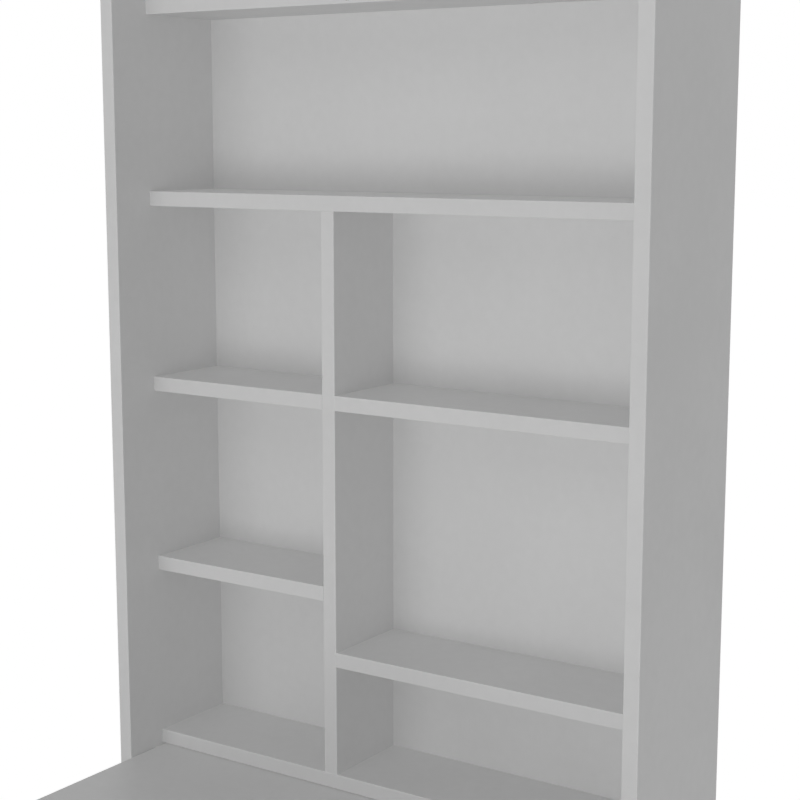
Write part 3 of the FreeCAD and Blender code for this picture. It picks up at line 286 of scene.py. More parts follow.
# Rails: the hanging rail hooks over the wall cleat with its bevelled lower edge, and the lower rail takes
# two more wall screws. Both are fibreboard strips, lacquered as the boards are and dowelled to the sides.
for node in ("hanging_rail", "lower_rail"):
    dress(lacquer(node), node)


# Wall cleat: a bare sanded strip of birch plywood, screwed to the wall, whose bevel carries the cabinet.
# The plies lie along the wall, every second one across, with a dark glue line between them.
PLIES = 11
PLY_TURN = (0.48, 0.52)
PLY_ROUGH = 0.58
PLY_GLOSS = 0.35
GLUE_RANGE = (0.43, 0.48)
GLUE_SHARE = 0.7
GLUE_BROWN = (0.16, 0.09, 0.045, 1.0)
BIRCH_PALE = (0.56, 0.39, 0.21, 1.0)
BIRCH_DARK = (0.42, 0.27, 0.13, 1.0)
BIRCH_END = (0.33, 0.21, 0.1, 1.0)
GRAIN_SIZE = (0.09, 0.0016, 0.0035)
GRAIN_RANGE = (0.36, 0.66)
GRAIN_ROUGHER = 0.14
GRAIN_RELIEF = (0.0001, 0.3)
PORE_SIZE = (0.0007, 0.002, 0.0007)
PORE_RANGE = (0.35, 0.65)


def plywood(node):
    """Face grain along the strip, and plies in turn along and across it through the thickness."""
    material, place = blank("birch_plywood")
    low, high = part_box(node)
    layer = (along(place, 1) - low.y) * (PLIES / (high.y - low.y))
    crosswise = rise(layer.math("FRACT", layer * 0.5), *PLY_TURN)
    joint = rise(abs(layer.math("FRACT", layer) - 0.5), *GLUE_RANGE)
    grain = rise(noise(place, GRAIN_SIZE, 4.0), *GRAIN_RANGE)
    pores = rise(noise(place, PORE_SIZE, 3.0), *PORE_RANGE)
    bare = mix(crosswise, mix(grain, BIRCH_PALE, BIRCH_DARK), mix(pores, BIRCH_DARK, BIRCH_END))
    coat(place, Base_Color=mix(joint * GLUE_SHARE, bare, GLUE_BROWN),
         Roughness=PLY_ROUGH + grain * GRAIN_ROUGHER, Normal=bump(grain, *GRAIN_RELIEF),
         Specular_IOR_Level=PLY_GLOSS)
    return material


dress(plywood("wall_cleat"), "wall_cleat")


# Dowels: turned beech pins that are glued into the boards' ends and faces, and longer ones that run
# through the divider. Bare wood, with the short dark flecks that beech has.
BEECH_PALE = (0.56, 0.34, 0.17, 1.0)
BEECH_FLECK = (0.38, 0.2, 0.09, 1.0)
BEECH_ROUGH = 0.55
BEECH_GLOSS = 0.35
FLECK_SIZE = (0.0025, 0.0005, 0.0005)
FLECK_RANGE = (0.55, 0.7)
FLECK_SHARE = 0.6
FLECK_RELIEF = (0.00005, 0.4)
BAND_SIZE = (0.03, 0.002, 0.002)
BAND_SHARE = 0.3
BAND_ROUGHER = 0.15

beech, beech_place = blank("turned_beech")
fleck = rise(noise(beech_place, FLECK_SIZE), *FLECK_RANGE)
band = noise(beech_place, BAND_SIZE, 3.0)
coat(beech_place, Base_Color=mix(fleck * FLECK_SHARE + band * BAND_SHARE, BEECH_PALE, BEECH_FLECK),
     Roughness=BEECH_ROUGH + band * BAND_ROUGHER, Normal=bump(fleck, *FLECK_RELIEF),
     Specular_IOR_Level=BEECH_GLOSS)
dress(beech, "shelf_dowels", "through_dowels", "leg_dowels")


# Cam nuts and cam bolts: die cast drums in the boards' pockets, each of which draws the head of a turned
# bolt in from the next board. Both are zinc plated, a cool cloudy grey that is brighter where it rubs.
ZINC_DULL = (0.46, 0.47, 0.49, 1.0)
ZINC_BRIGHT = (0.66, 0.67, 0.68, 1.0)
ZINC_ROUGH = 0.26
PLATE_CLOUD = 0.006
PLATE_RANGE = (0.35, 0.65)
DULL_ROUGHER = 0.14
PIT_SIZE = 0.0004
PIT_ROUGHER = 0.06
PIT_RELIEF = (0.00002, 0.3)


def plated(name, dull, bright, rough):
    """A plated metal: cloudy, finely pitted, and smoother in rubbed spots."""
    material, place = blank(name)
    cloud = rise(noise(place, PLATE_CLOUD, 3.0), *PLATE_RANGE)
    pits = noise(place, PIT_SIZE)
    coat(place, Base_Color=mix(cloud, dull, bright), Metallic=1.0,
         Roughness=rough + DULL_ROUGHER * (1 - cloud) + pits * PIT_ROUGHER, Normal=bump(pits, *PIT_RELIEF))
    return material


zinc = plated("zinc_plate", ZINC_DULL, ZINC_BRIGHT, ZINC_ROUGH)
dress(zinc, "cam_nuts", "cam_bolts")


# Back panel screws: countersunk cross recess screws, driven through the back panel into the shelves' rear
# edges. They are plated steel, with their heads flush in the board.
dress(zinc, "back_panel_screws")


# Cam caps: thin moulded covers that close the cam pockets which would otherwise show, pressed on the
# boards' faces. Each is a low dome with a rounded rim and a small notch, where a blade lifts it off.
CAP_RADIUS = 0.009
CAP_HIGH = 0.0008
CAP_SIDES = 64
CAP_CREASE = 40
CAP_RING_SHARES = ((1.0, 0.0), (0.985, 0.28), (0.955, 0.5), (0.9, 0.66), (0.78, 0.8), (0.55, 0.92),
                   (0.3, 0.98), (0.08, 1.0))
CAM_INSET = 0.024
NOTCH_SIDES = 3
NOTCH_REACH = 0.96
NOTCH_STEEP = 0.8
NOTCH_EDGE = 0.00008
NOTCH_DEEP = 0.00025
CAP_GREY = 0.5
CAP_STRAY = 0.04
CAP_CLOUD = 0.004
CAP_ROUGH = 0.42
CAP_GLOSS = 0.4
SPARK_SIZE = 0.0005
SPARK_ROUGHER = 0.14
SPARK_RELIEF = (0.00003, 0.4)


def lathe(name, rings, sides):
    """A closed turned shape about Z, from rings of radius and height."""
    bpy.ops.object.select_all(action="DESELECT")
    radius, height = rings[0]
    bpy.ops.mesh.primitive_circle_add(vertices=sides, radius=radius, fill_type="NGON",
                                      location=(0, 0, height))
    piece = bpy.context.object
    piece.name = name
    bpy.ops.object.transform_apply(location=True, rotation=True, scale=True)
    bpy.ops.object.mode_set(mode="EDIT")
    bpy.ops.mesh.select_all(action="SELECT")
    for next_radius, next_height in rings[1:]:
        bpy.ops.mesh.extrude_region_move(TRANSFORM_OT_translate={"value": (0, 0, next_height - height)})
        share = next_radius / radius
        bpy.ops.transform.resize(value=(share, share, 1), center_override=(0, 0, next_height))
        radius, height = next_radius, next_height
    bpy.ops.mesh.select_all(action="SELECT")
    bpy.ops.mesh.normals_make_consistent(inside=False)
    bpy.ops.object.mode_set(mode="OBJECT")
    return piece


def pick_faces(piece, wanted):
    """Selects the faces that pass a test, and stays in edit mode."""
    bpy.ops.object.mode_set(mode="EDIT")
    bpy.ops.mesh.select_mode(type="FACE")
    bpy.ops.mesh.select_all(action="DESELECT")
    bpy.ops.object.mode_set(mode="OBJECT")
    for face in piece.data.polygons:
        face.select = wanted(face)
    bpy.ops.object.mode_set(mode="EDIT")


def side_number(face, sides):
    """Which of a turned shape's sides a face is on, counted round from X."""
    turn = math.atan2(face.center.y, face.center.x) / (2 * math.pi)
    return math.floor(turn * sides) % sides


def smooth(piece, crease):
    """Shades a piece smooth, but for edges that turn by more than an angle in degrees."""
    bpy.ops.object.select_all(action="DESELECT")
    piece.select_set(True)
    bpy.context.view_layer.objects.active = piece
    bpy.ops.object.shade_smooth_by_angle(angle=math.radians(crease))


def copied(pattern, name, spot, turn=(0.0, 0.0, 0.0)):
    """A copy of a pattern piece, turned and then moved to its spot, with its place in its own mesh."""
    bpy.ops.object.select_all(action="DESELECT")
    pattern.select_set(True)
    bpy.context.view_layer.objects.active = pattern
    bpy.ops.object.duplicate()
    piece = bpy.context.object
    piece.name = name
    piece.data.name = name
    piece.rotation_euler = [math.radians(angle) for angle in turn]
    piece.location = spot
    bpy.ops.object.transform_apply(location=True, rotation=True, scale=True)
    return piece


def painted(piece, material):
    """Gives a new piece its finish all over."""
    piece.data.materials.clear()
    piece.data.materials.append(material)


def fitted(piece, body, node):
    """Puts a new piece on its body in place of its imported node."""
    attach(piece, body)
    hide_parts(node)


cap_plastic, cap_place = blank("moulded_cap")
spark = noise(cap_place, SPARK_SIZE)
cap_shade = mix(noise(cap_place, CAP_CLOUD), grey(CAP_GREY * (1 - CAP_STRAY)),
                grey(CAP_GREY * (1 + CAP_STRAY)))
coat(cap_place, Base_Color=cap_shade, Roughness=CAP_ROUGH + spark * SPARK_ROUGHER,
     Normal=bump(spark, *SPARK_RELIEF), Specular_IOR_Level=CAP_GLOSS)

cap_rings = [(wide * CAP_RADIUS, high * CAP_HIGH) for wide, high in CAP_RING_SHARES]
cap = lathe("cap_pattern", cap_rings, CAP_SIDES)
pick_faces(cap, lambda face: face.center.xy.length > NOTCH_REACH * CAP_RADIUS
           and abs(face.normal.z) < NOTCH_STEEP and side_number(face, CAP_SIDES) < NOTCH_SIDES)
bpy.ops.mesh.inset(thickness=NOTCH_EDGE, depth=-NOTCH_DEEP)
bpy.ops.object.mode_set(mode="OBJECT")
smooth(cap, CAP_CREASE)
painted(cap, cap_plastic)
caps_low, caps_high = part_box("cam_caps")
cap_reach = caps_high.x - CAP_RADIUS
cap_back = (caps_low.y + caps_high.y) / 2
cap_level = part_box("top_panel")[1].z
shelf_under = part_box("full_width_shelf")[0].z
divider_low, divider_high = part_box("vertical_divider")
cap_spots = {
    "top_left_cap": ((-cap_reach, cap_back, cap_level), (0, 0, 90)),
    "top_right_cap": ((cap_reach, cap_back, cap_level), (0, 0, 90)),
    "shelf_left_cap": ((-cap_reach, cap_back, shelf_under), (180, 0, 90)),
    "shelf_right_cap": ((cap_reach, cap_back, shelf_under), (180, 0, 90)),
    "divider_top_cap": ((divider_low.x, cap_back, divider_high.z - CAM_INSET), (0, -90, 0)),
    "divider_low_cap": ((divider_low.x, cap_back, divider_low.z + CAM_INSET), (0, -90, 0)),
}
for name, (spot, turn) in cap_spots.items():
    fitted(copied(cap, name, spot, turn), "cabinet", "cam_caps")
bpy.data.objects.remove(cap)


# Pivot bushes: flanged nylon sleeves that are pressed into the side panels and carry the desk's pins.
# The nylon is milky and a little cloudy, with the fine grain of its mould.
NYLON_PALE = (0.6, 0.6, 0.585, 1.0)
NYLON_DARK = (0.5, 0.5, 0.48, 1.0)
NYLON_ROUGH = 0.38
NYLON_GLOSS = 0.45
NYLON_GRAIN = 0.0006
NYLON_RELIEF = (0.00002, 0.3)
MILK_SIZE = 0.003
MILK_RANGE = (0.3, 0.7)
MILK_ROUGHER = 0.12

nylon, nylon_place = blank("milky_nylon")
milk = rise(noise(nylon_place, MILK_SIZE, 3.0), *MILK_RANGE)
coat(nylon_place, Base_Color=mix(milk, NYLON_PALE, NYLON_DARK), Roughness=NYLON_ROUGH + milk * MILK_ROUGHER,
     Normal=bump(noise(nylon_place, NYLON_GRAIN), *NYLON_RELIEF), Specular_IOR_Level=NYLON_GLOSS)
dress(nylon, "left_pivot_bush", "right_pivot_bush")


# Catch magnets: nickel plated rods pressed into the top panel's front edge, which hold the closed desk.
# The plating is bright and slightly warm, and dulls in cloudy patches.
NICKEL_DULL = (0.5, 0.48, 0.45, 1.0)
NICKEL_BRIGHT = (0.7, 0.68, 0.64, 1.0)
NICKEL_ROUGH = 0.16

nickel = plated("nickel_plate", NICKEL_DULL, NICKEL_BRIGHT, NICKEL_ROUGH)
dress(nickel, "catch_magnets")


# Stop pads: thin discs of pressed wool felt, glued under the bottom shelf, that the open desk's tail bears
# on. Their edges are cut by a punch and soften, and the wool makes them lumpy and matt.
FELT_PALE = (0.2, 0.2, 0.205, 1.0)
FELT_DARK = (0.1, 0.1, 0.104, 1.0)
FELT_ROUGH = 0.92
FELT_GLOSS = 0.1
FELT_SHEEN = 0.3
FELT_RELIEF = (0.0003, 0.8)
FELT_SIDES = 64
FELT_CREASE = 50
FELT_LUMP = 0.0012
FELT_SWELL = 0.00012
FELT_RING_SHARES = ((0.1, 0.0), (0.25, 0.0), (0.4, 0.0), (0.55, 0.0), (0.7, 0.0), (0.84, 0.0), (0.94, 0.04),
                    (0.985, 0.16), (1.0, 0.35), (1.0, 0.6), (0.995, 1.0))
TUFT_SIZE = 0.0009
TUFT_RANGE = (0.3, 0.7)
TUFT_SHARE = 0.5
TUFT_ROUGHER = 0.06
HAIR_LENGTH = 0.0022
HAIR_WIDTH = 0.0002
HAIR_DEPTH = 0.0012

felt, felt_place = blank("wool_felt")
tuft = rise(noise(felt_place, TUFT_SIZE, 4.0), *TUFT_RANGE)
hairs = noise(felt_place, (HAIR_LENGTH, HAIR_WIDTH, HAIR_DEPTH), 3.0)
hairs = hairs.most(noise(felt_place, (HAIR_WIDTH, HAIR_LENGTH, HAIR_DEPTH), 3.0))
coat(felt_place, Base_Color=mix(tuft * TUFT_SHARE + hairs * (1 - TUFT_SHARE), FELT_DARK, FELT_PALE),
     Roughness=FELT_ROUGH + tuft * TUFT_ROUGHER, Normal=bump(tuft * TUFT_SHARE + hairs, *FELT_RELIEF),
     Specular_IOR_Level=FELT_GLOSS, Sheen_Weight=FELT_SHEEN)


def felt_disc(name, radius, thick):
    """A felt disc with its glued face up: lumpy below and at its rim, and flat above."""
    disc = lathe(name, [(wide * radius, high * thick) for wide, high in FELT_RING_SHARES], FELT_SIDES)
    loose = disc.vertex_groups.new(name="loose")
    loose.add([point.index for point in disc.data.vertices if point.co.z < thick / 2], 1.0, "REPLACE")
    wool = bpy.data.textures.new(name, "CLOUDS")
    wool.noise_scale = FELT_LUMP
    lumps = disc.modifiers.new("lumps", "DISPLACE")
    lumps.texture = wool
    lumps.strength = FELT_SWELL
    lumps.vertex_group = "loose"
    bpy.ops.object.modifier_apply(modifier="lumps")
    smooth(disc, FELT_CREASE)
    painted(disc, felt)
    return disc


def felt_pair(node, body, names):
    """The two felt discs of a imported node, left and then right."""
    low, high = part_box(node)
    radius = (high.y - low.y) / 2
    disc = felt_disc(node + "_pattern", radius, high.z - low.z)
    for name, across in zip(names, (low.x + radius, high.x - radius)):
        pad = copied(disc, name, (across, low.y + radius, low.z))
        fitted(pad, body, node)
    bpy.data.objects.remove(disc)


felt_pair("desk_stop_pads", "cabinet", ("left_stop_felt", "right_stop_felt"))


# Desk panel: one board that turns down on a steel pin in each long edge, lacquered as the cabinet is. It
# has been wiped from side to side often enough that faint smoother streaks show in its sheen.
WIPE_SIZE = (0.3, 0.018, 0.018)
WIPE_RANGE = (0.5, 0.7)
WIPE_SMOOTHER = 0.07


def wiped(place):
    """How much smoother the streaks are that a cloth has left."""
    return rise(noise(place, WIPE_SIZE, 3.0), *WIPE_RANGE) * WIPE_SMOOTHER


dress(lacquer("desk_panel", polish=wiped), "desk_panel")


# Pivot pins: ground steel rods that are pressed into the desk's edges and turn in the nylon bushes.
# Grinding leaves fine rings round them.
STEEL_DULL = (0.38, 0.38, 0.39, 1.0)
STEEL_BRIGHT = (0.58, 0.58, 0.59, 1.0)
STEEL_ROUGH = 0.2
GRINDING_SIZE = (0.00025, 0.03, 0.03)
GRINDING_ROUGHER = 0.2
GRINDING_RELIEF = (0.00001, 0.4)

ground_steel, steel_place = blank("ground_steel")
grinding = noise(steel_place, GRINDING_SIZE, 3.0)
coat(steel_place, Base_Color=mix(grinding, STEEL_DULL, STEEL_BRIGHT), Metallic=1.0,
     Roughness=STEEL_ROUGH + grinding * GRINDING_ROUGHER, Normal=bump(grinding, *GRINDING_RELIEF))
dress(ground_steel, "left_pivot_pin", "right_pivot_pin")


# Strike plates: turned steel discs let into the desk's upper face, each with one countersunk screw, which
# the magnets take hold of. Discs and screws are zinc plated.
dress(zinc, "strike_plates", "strike_screws")


# Apron: a lacquered hardwood rail under the desk's free end, which stops the deployed leg frame.
# Three long countersunk screws hold it from below.
dress(lacquer("desk_apron"), "desk_apron")
dress(zinc, "apron_screws")


# Leg brackets: angles bent from steel sheet, zinc plated, screwed under the desk. Each has an ear with
# rounded corners that carries one pivot bolt of the leg frame.
dress(zinc, "left_leg_bracket", "right_leg_bracket", "bracket_screws")


# Rest pads: thicker felt discs glued under the desk, on which the folded leg frame's posts lie.
# They are the same pressed wool as the stop pads.
felt_pair("leg_rest_pads", "desk", ("left_rest_felt", "right_rest_felt"))


# Leg posts and rails: square hardwood with softened edges, lacquered as the boards are and dowelled into
# one frame. The posts are rounded at the top, about the bolts that they turn on.
for node in ("left_leg_post", "right_leg_post", "leg_top_rail", "leg_foot_rail"):
    dress(lacquer(node), node)


# Pivot bolts: button head bolts, cold headed with a hexagon socket, through a post and its bracket's ear.
# The end that the nut holds is threaded, and the whole is zinc plated.
BOLT_SIDES = 48
BOLT_CREASE = 35
BOLT_HEAD_HIGH = 0.0044
BOLT_HEAD_SHARES = ((0.5, 0.0), (0.66, 0.08), (0.82, 0.24), (0.93, 0.46), (0.99, 0.75), (1.0, 0.9),
                    (0.985, 1.0))
BOLT_RADIUS = 0.004
BOLT_SOCKET = 0.005
BOLT_SOCKET_DEEP = 0.0026
BOLT_THREAD = 0.013
BOLT_END = 0.0015
NUT_HIGH = 0.008
HEAD_TURNS = {"left": (0, 90, 0), "right": (0, -90, 0)}
HEXAGON = 6
THREAD_PITCH = 0.00125
THREAD_DEEP = 0.0006
THREAD_FLAT = 0.12
THREAD_FLANK = 0.38
THREAD_STEPS = 32
TURNS_BELOW = 2
TURNS_SPARE = 3
SAME_TURN = THREAD_PITCH / 50
SAME_LEVEL = THREAD_PITCH / 5000
SAME_POINT = 0.000002


def corner_radius(across_flats):
    """How far a hexagon's corners are from its middle."""
    return across_flats / 2 / math.cos(math.pi / HEXAGON)


def cut(piece, tool, operation):
    """Cuts a piece with a tool shape, adds it or keeps what they share, and takes the tool away."""
    boolean = piece.modifiers.new("cut", "BOOLEAN")
    boolean.operation = operation
    boolean.object = tool
    boolean.solver = "EXACT"
    bpy.ops.object.select_all(action="DESELECT")
    piece.select_set(True)
    bpy.context.view_layer.objects.active = piece
    bpy.ops.object.modifier_apply(modifier="cut")
    bpy.data.objects.remove(tool)
    bpy.ops.object.mode_set(mode="EDIT")
    bpy.ops.mesh.select_mode(type="VERT")
    bpy.ops.mesh.select_all(action="SELECT")
    bpy.ops.mesh.remove_doubles(threshold=SAME_POINT)
    bpy.ops.object.mode_set(mode="OBJECT")


def joined(piece, other):
    """Makes another shape part of a piece."""
    bpy.ops.object.select_all(action="DESELECT")
    other.select_set(True)
    piece.select_set(True)
    bpy.context.view_layer.objects.active = piece
    bpy.ops.object.join()


def prism(name, across_flats, low, high):
    """A hexagonal prism about Z between two heights."""
    bpy.ops.object.select_all(action="DESELECT")
    bpy.ops.mesh.primitive_cylinder_add(vertices=HEXAGON, radius=corner_radius(across_flats),
                                        depth=high - low, location=(0, 0, (low + high) / 2))
    bpy.ops.object.transform_apply(location=True, rotation=True, scale=True)
    bpy.context.object.name = name
    return bpy.context.object


def thread(name, radius, low, high):
    """A threaded stem about Z: a V that winds past both of its heights, and is cut flat there."""
    bpy.ops.object.select_all(action="DESELECT")
    bpy.ops.mesh.primitive_plane_add(size=radius)
    piece = bpy.context.object
    piece.name = name
    bpy.ops.object.mode_set(mode="EDIT")
    bpy.ops.mesh.select_mode(type="VERT")
    bpy.ops.mesh.select_all(action="SELECT")
    bpy.ops.mesh.merge(type="CENTER")
    bpy.ops.transform.translate(value=(radius - THREAD_DEEP, 0, low - TURNS_BELOW * THREAD_PITCH))
    for out, up in ((0, THREAD_FLAT), (THREAD_DEEP, THREAD_FLANK),
                    (0, THREAD_FLAT), (-THREAD_DEEP, THREAD_FLANK)):
        bpy.ops.mesh.extrude_region_move(TRANSFORM_OT_translate={"value": (out, 0, up * THREAD_PITCH)})
    bpy.ops.object.mode_set(mode="OBJECT")
    wind = piece.modifiers.new("wind", "SCREW")
    wind.axis = "Z"
    wind.screw_offset = THREAD_PITCH
    wind.iterations = math.ceil((high - low) / THREAD_PITCH) + TURNS_SPARE
    wind.steps = THREAD_STEPS
    wind.render_steps = THREAD_STEPS
    bpy.ops.object.modifier_apply(modifier="wind")
    bpy.ops.object.mode_set(mode="EDIT")
    bpy.ops.mesh.select_all(action="SELECT")
    bpy.ops.mesh.remove_doubles(threshold=SAME_TURN)
    for height, outward in ((low, (0, 0, -1)), (high, (0, 0, 1))):
        bpy.ops.mesh.select_all(action="SELECT")
        bpy.ops.mesh.bisect(plane_co=(0, 0, height), plane_no=outward, use_fill=True, clear_outer=True,
                            threshold=SAME_LEVEL)
    bpy.ops.mesh.select_all(action="SELECT")
    bpy.ops.mesh.normals_make_consistent(inside=False)
    bpy.ops.object.mode_set(mode="OBJECT")
    return piece


bolt_low, bolt_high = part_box("leg_pivot_bolts")
nut_low, nut_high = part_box("leg_pivot_nuts")
bolt_back = (bolt_low.y + bolt_high.y) / 2
bolt_level = (bolt_low.z + bolt_high.z) / 2
bolt_length = bolt_high.x - (nut_high.x - NUT_HIGH - BOLT_END)
thread_start = bolt_length - BOLT_THREAD
head_radius = (bolt_high.y - bolt_low.y) / 2
bolt_rings = [(wide * head_radius, high * BOLT_HEAD_HIGH) for wide, high in BOLT_HEAD_SHARES]
bolt_rings += [(BOLT_RADIUS, BOLT_HEAD_HIGH), (BOLT_RADIUS, thread_start)]
bolt = lathe("bolt_pattern", bolt_rings, BOLT_SIDES)
cut(bolt, prism("socket", BOLT_SOCKET, -BOLT_SOCKET_DEEP, BOLT_SOCKET_DEEP), "DIFFERENCE")
joined(bolt, thread("bolt_thread", BOLT_RADIUS, thread_start - THREAD_PITCH, bolt_length))
smooth(bolt, BOLT_CREASE)
painted(bolt, zinc)
for side, across in (("left", bolt_low.x), ("right", bolt_high.x)):
    piece = copied(bolt, side + "_button_bolt", (across, bolt_back, bolt_level), HEAD_TURNS[side])
    fitted(piece, "desk", "leg_pivot_bolts")
bpy.data.objects.remove(bolt)


# Washers and lock nuts: a washer on each side of a post, and on the bracket's ear a plated hexagon nut
# with chamfered corners, whose collar grips a nylon ring so that the nut stays put as the frame turns.
NUT_FLATS = 0.013
NUT_CREASE = 30
NUT_HEX_HIGH = 0.006
NUT_FACE = 0.97
PAST_CORNER = 1.02
CORNER_CUT = 0.0008
NUT_BORE = 0.00403
COLLAR_RADIUS = 0.0056
COLLAR_BEND = 0.9
COLLAR_MOUTH = 0.95
RING_RADIUS = 0.0048
RING_FIT = 0.00002
RING_LOW = 0.0062
RING_HIGH = 0.0076

dress(zinc, "leg_pivot_washers")
face_radius = NUT_FACE * NUT_FLATS / 2
past_corner = PAST_CORNER * corner_radius(NUT_FLATS)
corner_rings = [(face_radius, 0.0), (past_corner, CORNER_CUT), (past_corner, NUT_HEX_HIGH - CORNER_CUT),
                (face_radius, NUT_HEX_HIGH)]
collar_rings = [(COLLAR_RADIUS, NUT_HEX_HIGH / 2), (COLLAR_RADIUS, COLLAR_BEND * NUT_HIGH),
                (COLLAR_MOUTH * COLLAR_RADIUS, NUT_HIGH)]
bore_rings = [(NUT_BORE, -NUT_HIGH), (NUT_BORE, RING_LOW), (RING_RADIUS, RING_LOW),
              (RING_RADIUS, 2 * NUT_HIGH)]
nut = prism("nut_pattern", NUT_FLATS, 0.0, NUT_HEX_HIGH)
cut(nut, lathe("turned_corners", corner_rings, BOLT_SIDES), "INTERSECT")
cut(nut, lathe("collar", collar_rings, BOLT_SIDES), "UNION")
cut(nut, lathe("bore", bore_rings, BOLT_SIDES), "DIFFERENCE")
painted(nut, zinc)
ring_radius = RING_RADIUS - RING_FIT
ring = lathe("nylon_ring", [(ring_radius, RING_LOW + RING_FIT), (ring_radius, RING_HIGH)], BOLT_SIDES)
cut(ring, lathe("ring_bore", [(NUT_BORE, 0.0), (NUT_BORE, NUT_HIGH)], BOLT_SIDES), "DIFFERENCE")
painted(ring, nylon)
joined(nut, ring)
smooth(nut, NUT_CREASE)
for side, across in (("left", nut_low.x), ("right", nut_high.x)):
    piece = copied(nut, side + "_lock_nut", (across, bolt_back, bolt_level), HEAD_TURNS[side])
    fitted(piece, "desk", "leg_pivot_nuts")
bpy.data.objects.remove(nut)


# Foot inserts: flanged brass nuts that are pressed into the posts' lower ends and take the levelling feet.
# They are turned from bar, so fine rings run round them, and the brass has dulled in places.
BRASS_BRIGHT = (0.6, 0.4, 0.12, 1.0)
BRASS_DULL = (0.38, 0.25, 0.08, 1.0)
BRASS_ROUGH = 0.22
TARNISH_SIZE = 0.005
TARNISH_RANGE = (0.35, 0.7)
TARNISH_ROUGHER = 0.16
TURNING_SIZE = (0.02, 0.02, 0.0002)
TURNING_ROUGHER = 0.08
TURNING_RELIEF = (0.00001, 0.4)

brass, brass_place = blank("turned_brass")
tarnish = rise(noise(brass_place, TARNISH_SIZE, 3.0), *TARNISH_RANGE)
turning = noise(brass_place, TURNING_SIZE)
coat(brass_place, Base_Color=mix(tarnish, BRASS_BRIGHT, BRASS_DULL), Metallic=1.0,
     Roughness=BRASS_ROUGH + tarnish * TARNISH_ROUGHER + turning * TURNING_ROUGHER,
     Normal=bump(turning, *TURNING_RELIEF))
dress(brass, "foot_inserts")


# Levelling feet: moulded dark plastic discs on threaded stems, turned by hand in the brass inserts.
# The rim is fluted for the fingers, and the sole is hollowed so that the foot stands on its edge.
FOOT_SIDES = 48
FOOT_CREASE = 35
FOOT_DISC = 0.006
FOOT_RING_SHARES = ((0.885, 0.0), (0.955, 0.06), (1.0, 0.25), (1.0, 0.82), (0.975, 0.93), (0.92, 1.0),
                    (0.4, 1.0))
FLUTE_UPRIGHT = 0.1
FLUTE_EDGE = 0.0002
FLUTE_DEEP = 0.0004
SOLE_FACING = -0.99
SOLE_EDGE = 0.0025
SOLE_HOLLOW = 0.0008
STEM_RADIUS = 0.004
STEM_ROOT = 0.0006
FOOT_BLACK = 0.028
FOOT_ROUGH = 0.42
FOOT_GLOSS = 0.4
GRIT_SIZE = 0.0006
GRIT_SHARE = 0.2
GRIT_ROUGHER = 0.12
GRIT_RELIEF = (0.00004, 0.4)
SCUFF_GREY = 0.075
SCUFF_SIZE = 0.0025
SCUFF_RANGE = (0.48, 0.66)
SCUFF_SHARE = 0.7
SCUFF_ROUGHER = 0.25

foot_low, foot_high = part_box("left_levelling_foot")
foot_plastic, foot_place = blank("moulded_foot")
grit = noise(foot_place, GRIT_SIZE)
near_floor = 1 - rise(along(foot_place, 2), foot_low.z, foot_low.z + FOOT_DISC / 2)
scuffed = near_floor * rise(noise(foot_place, SCUFF_SIZE, 3.0), *SCUFF_RANGE)
foot_shade = mix(scuffed * SCUFF_SHARE + grit * GRIT_SHARE, grey(FOOT_BLACK), grey(SCUFF_GREY))
coat(foot_place, Base_Color=foot_shade,
     Roughness=FOOT_ROUGH + grit * GRIT_ROUGHER + scuffed * SCUFF_ROUGHER, Normal=bump(grit, *GRIT_RELIEF),
     Specular_IOR_Level=FOOT_GLOSS)

foot_radius = (foot_high.x - foot_low.x) / 2
foot_rings = [(wide * foot_radius, high * FOOT_DISC) for wide, high in FOOT_RING_SHARES]
foot = lathe("foot_pattern", foot_rings, FOOT_SIDES)
pick_faces(foot, lambda face: abs(face.normal.z) < FLUTE_UPRIGHT and side_number(face, FOOT_SIDES) % 2 == 0)
bpy.ops.mesh.inset(use_individual=True, thickness=FLUTE_EDGE, depth=-FLUTE_DEEP)
bpy.ops.object.mode_set(mode="OBJECT")
pick_faces(foot, lambda face: face.normal.z < SOLE_FACING)
bpy.ops.mesh.inset(thickness=SOLE_EDGE, depth=0.0)
bpy.ops.mesh.inset(thickness=SOLE_HOLLOW / 2, depth=-SOLE_HOLLOW)
bpy.ops.object.mode_set(mode="OBJECT")
joined(foot, thread("foot_stem", STEM_RADIUS, FOOT_DISC - STEM_ROOT, foot_high.z - foot_low.z))
smooth(foot, FOOT_CREASE)
painted(foot, foot_plastic)
for side in ("left", "right"):
    low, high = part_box(side + "_levelling_foot")
    piece = copied(foot, side + "_fluted_foot", ((low.x + high.x) / 2, (low.y + high.y) / 2, low.z))
    fitted(piece, side + "_foot", side + "_levelling_foot")
bpy.data.objects.remove(foot)


# Floor: a plain pale studio floor under the levelling feet. The camera sees it white where nothing shades
# it, the object's soft shadow stays on it, and from below it lets the underside be seen.
FLOOR_LEVEL = cad_low.z
FLOOR_SIZE = 60.0
FLOOR_PALE = 0.8
FLOOR_LIFT = 0.505
SEEN_RAYS = ("Is Camera Ray", "Is Glossy Ray", "Is Transmission Ray")


def looked_at(tone):
    """1 for what is seen, straight or in gloss and glass, and 0 for the light that falls on things."""
    camera_ray, glossy_ray, glass_ray = [tone.node("LightPath", {}, {}, ray) for ray in SEEN_RAYS]
    return camera_ray.most(glossy_ray).most(glass_ray)


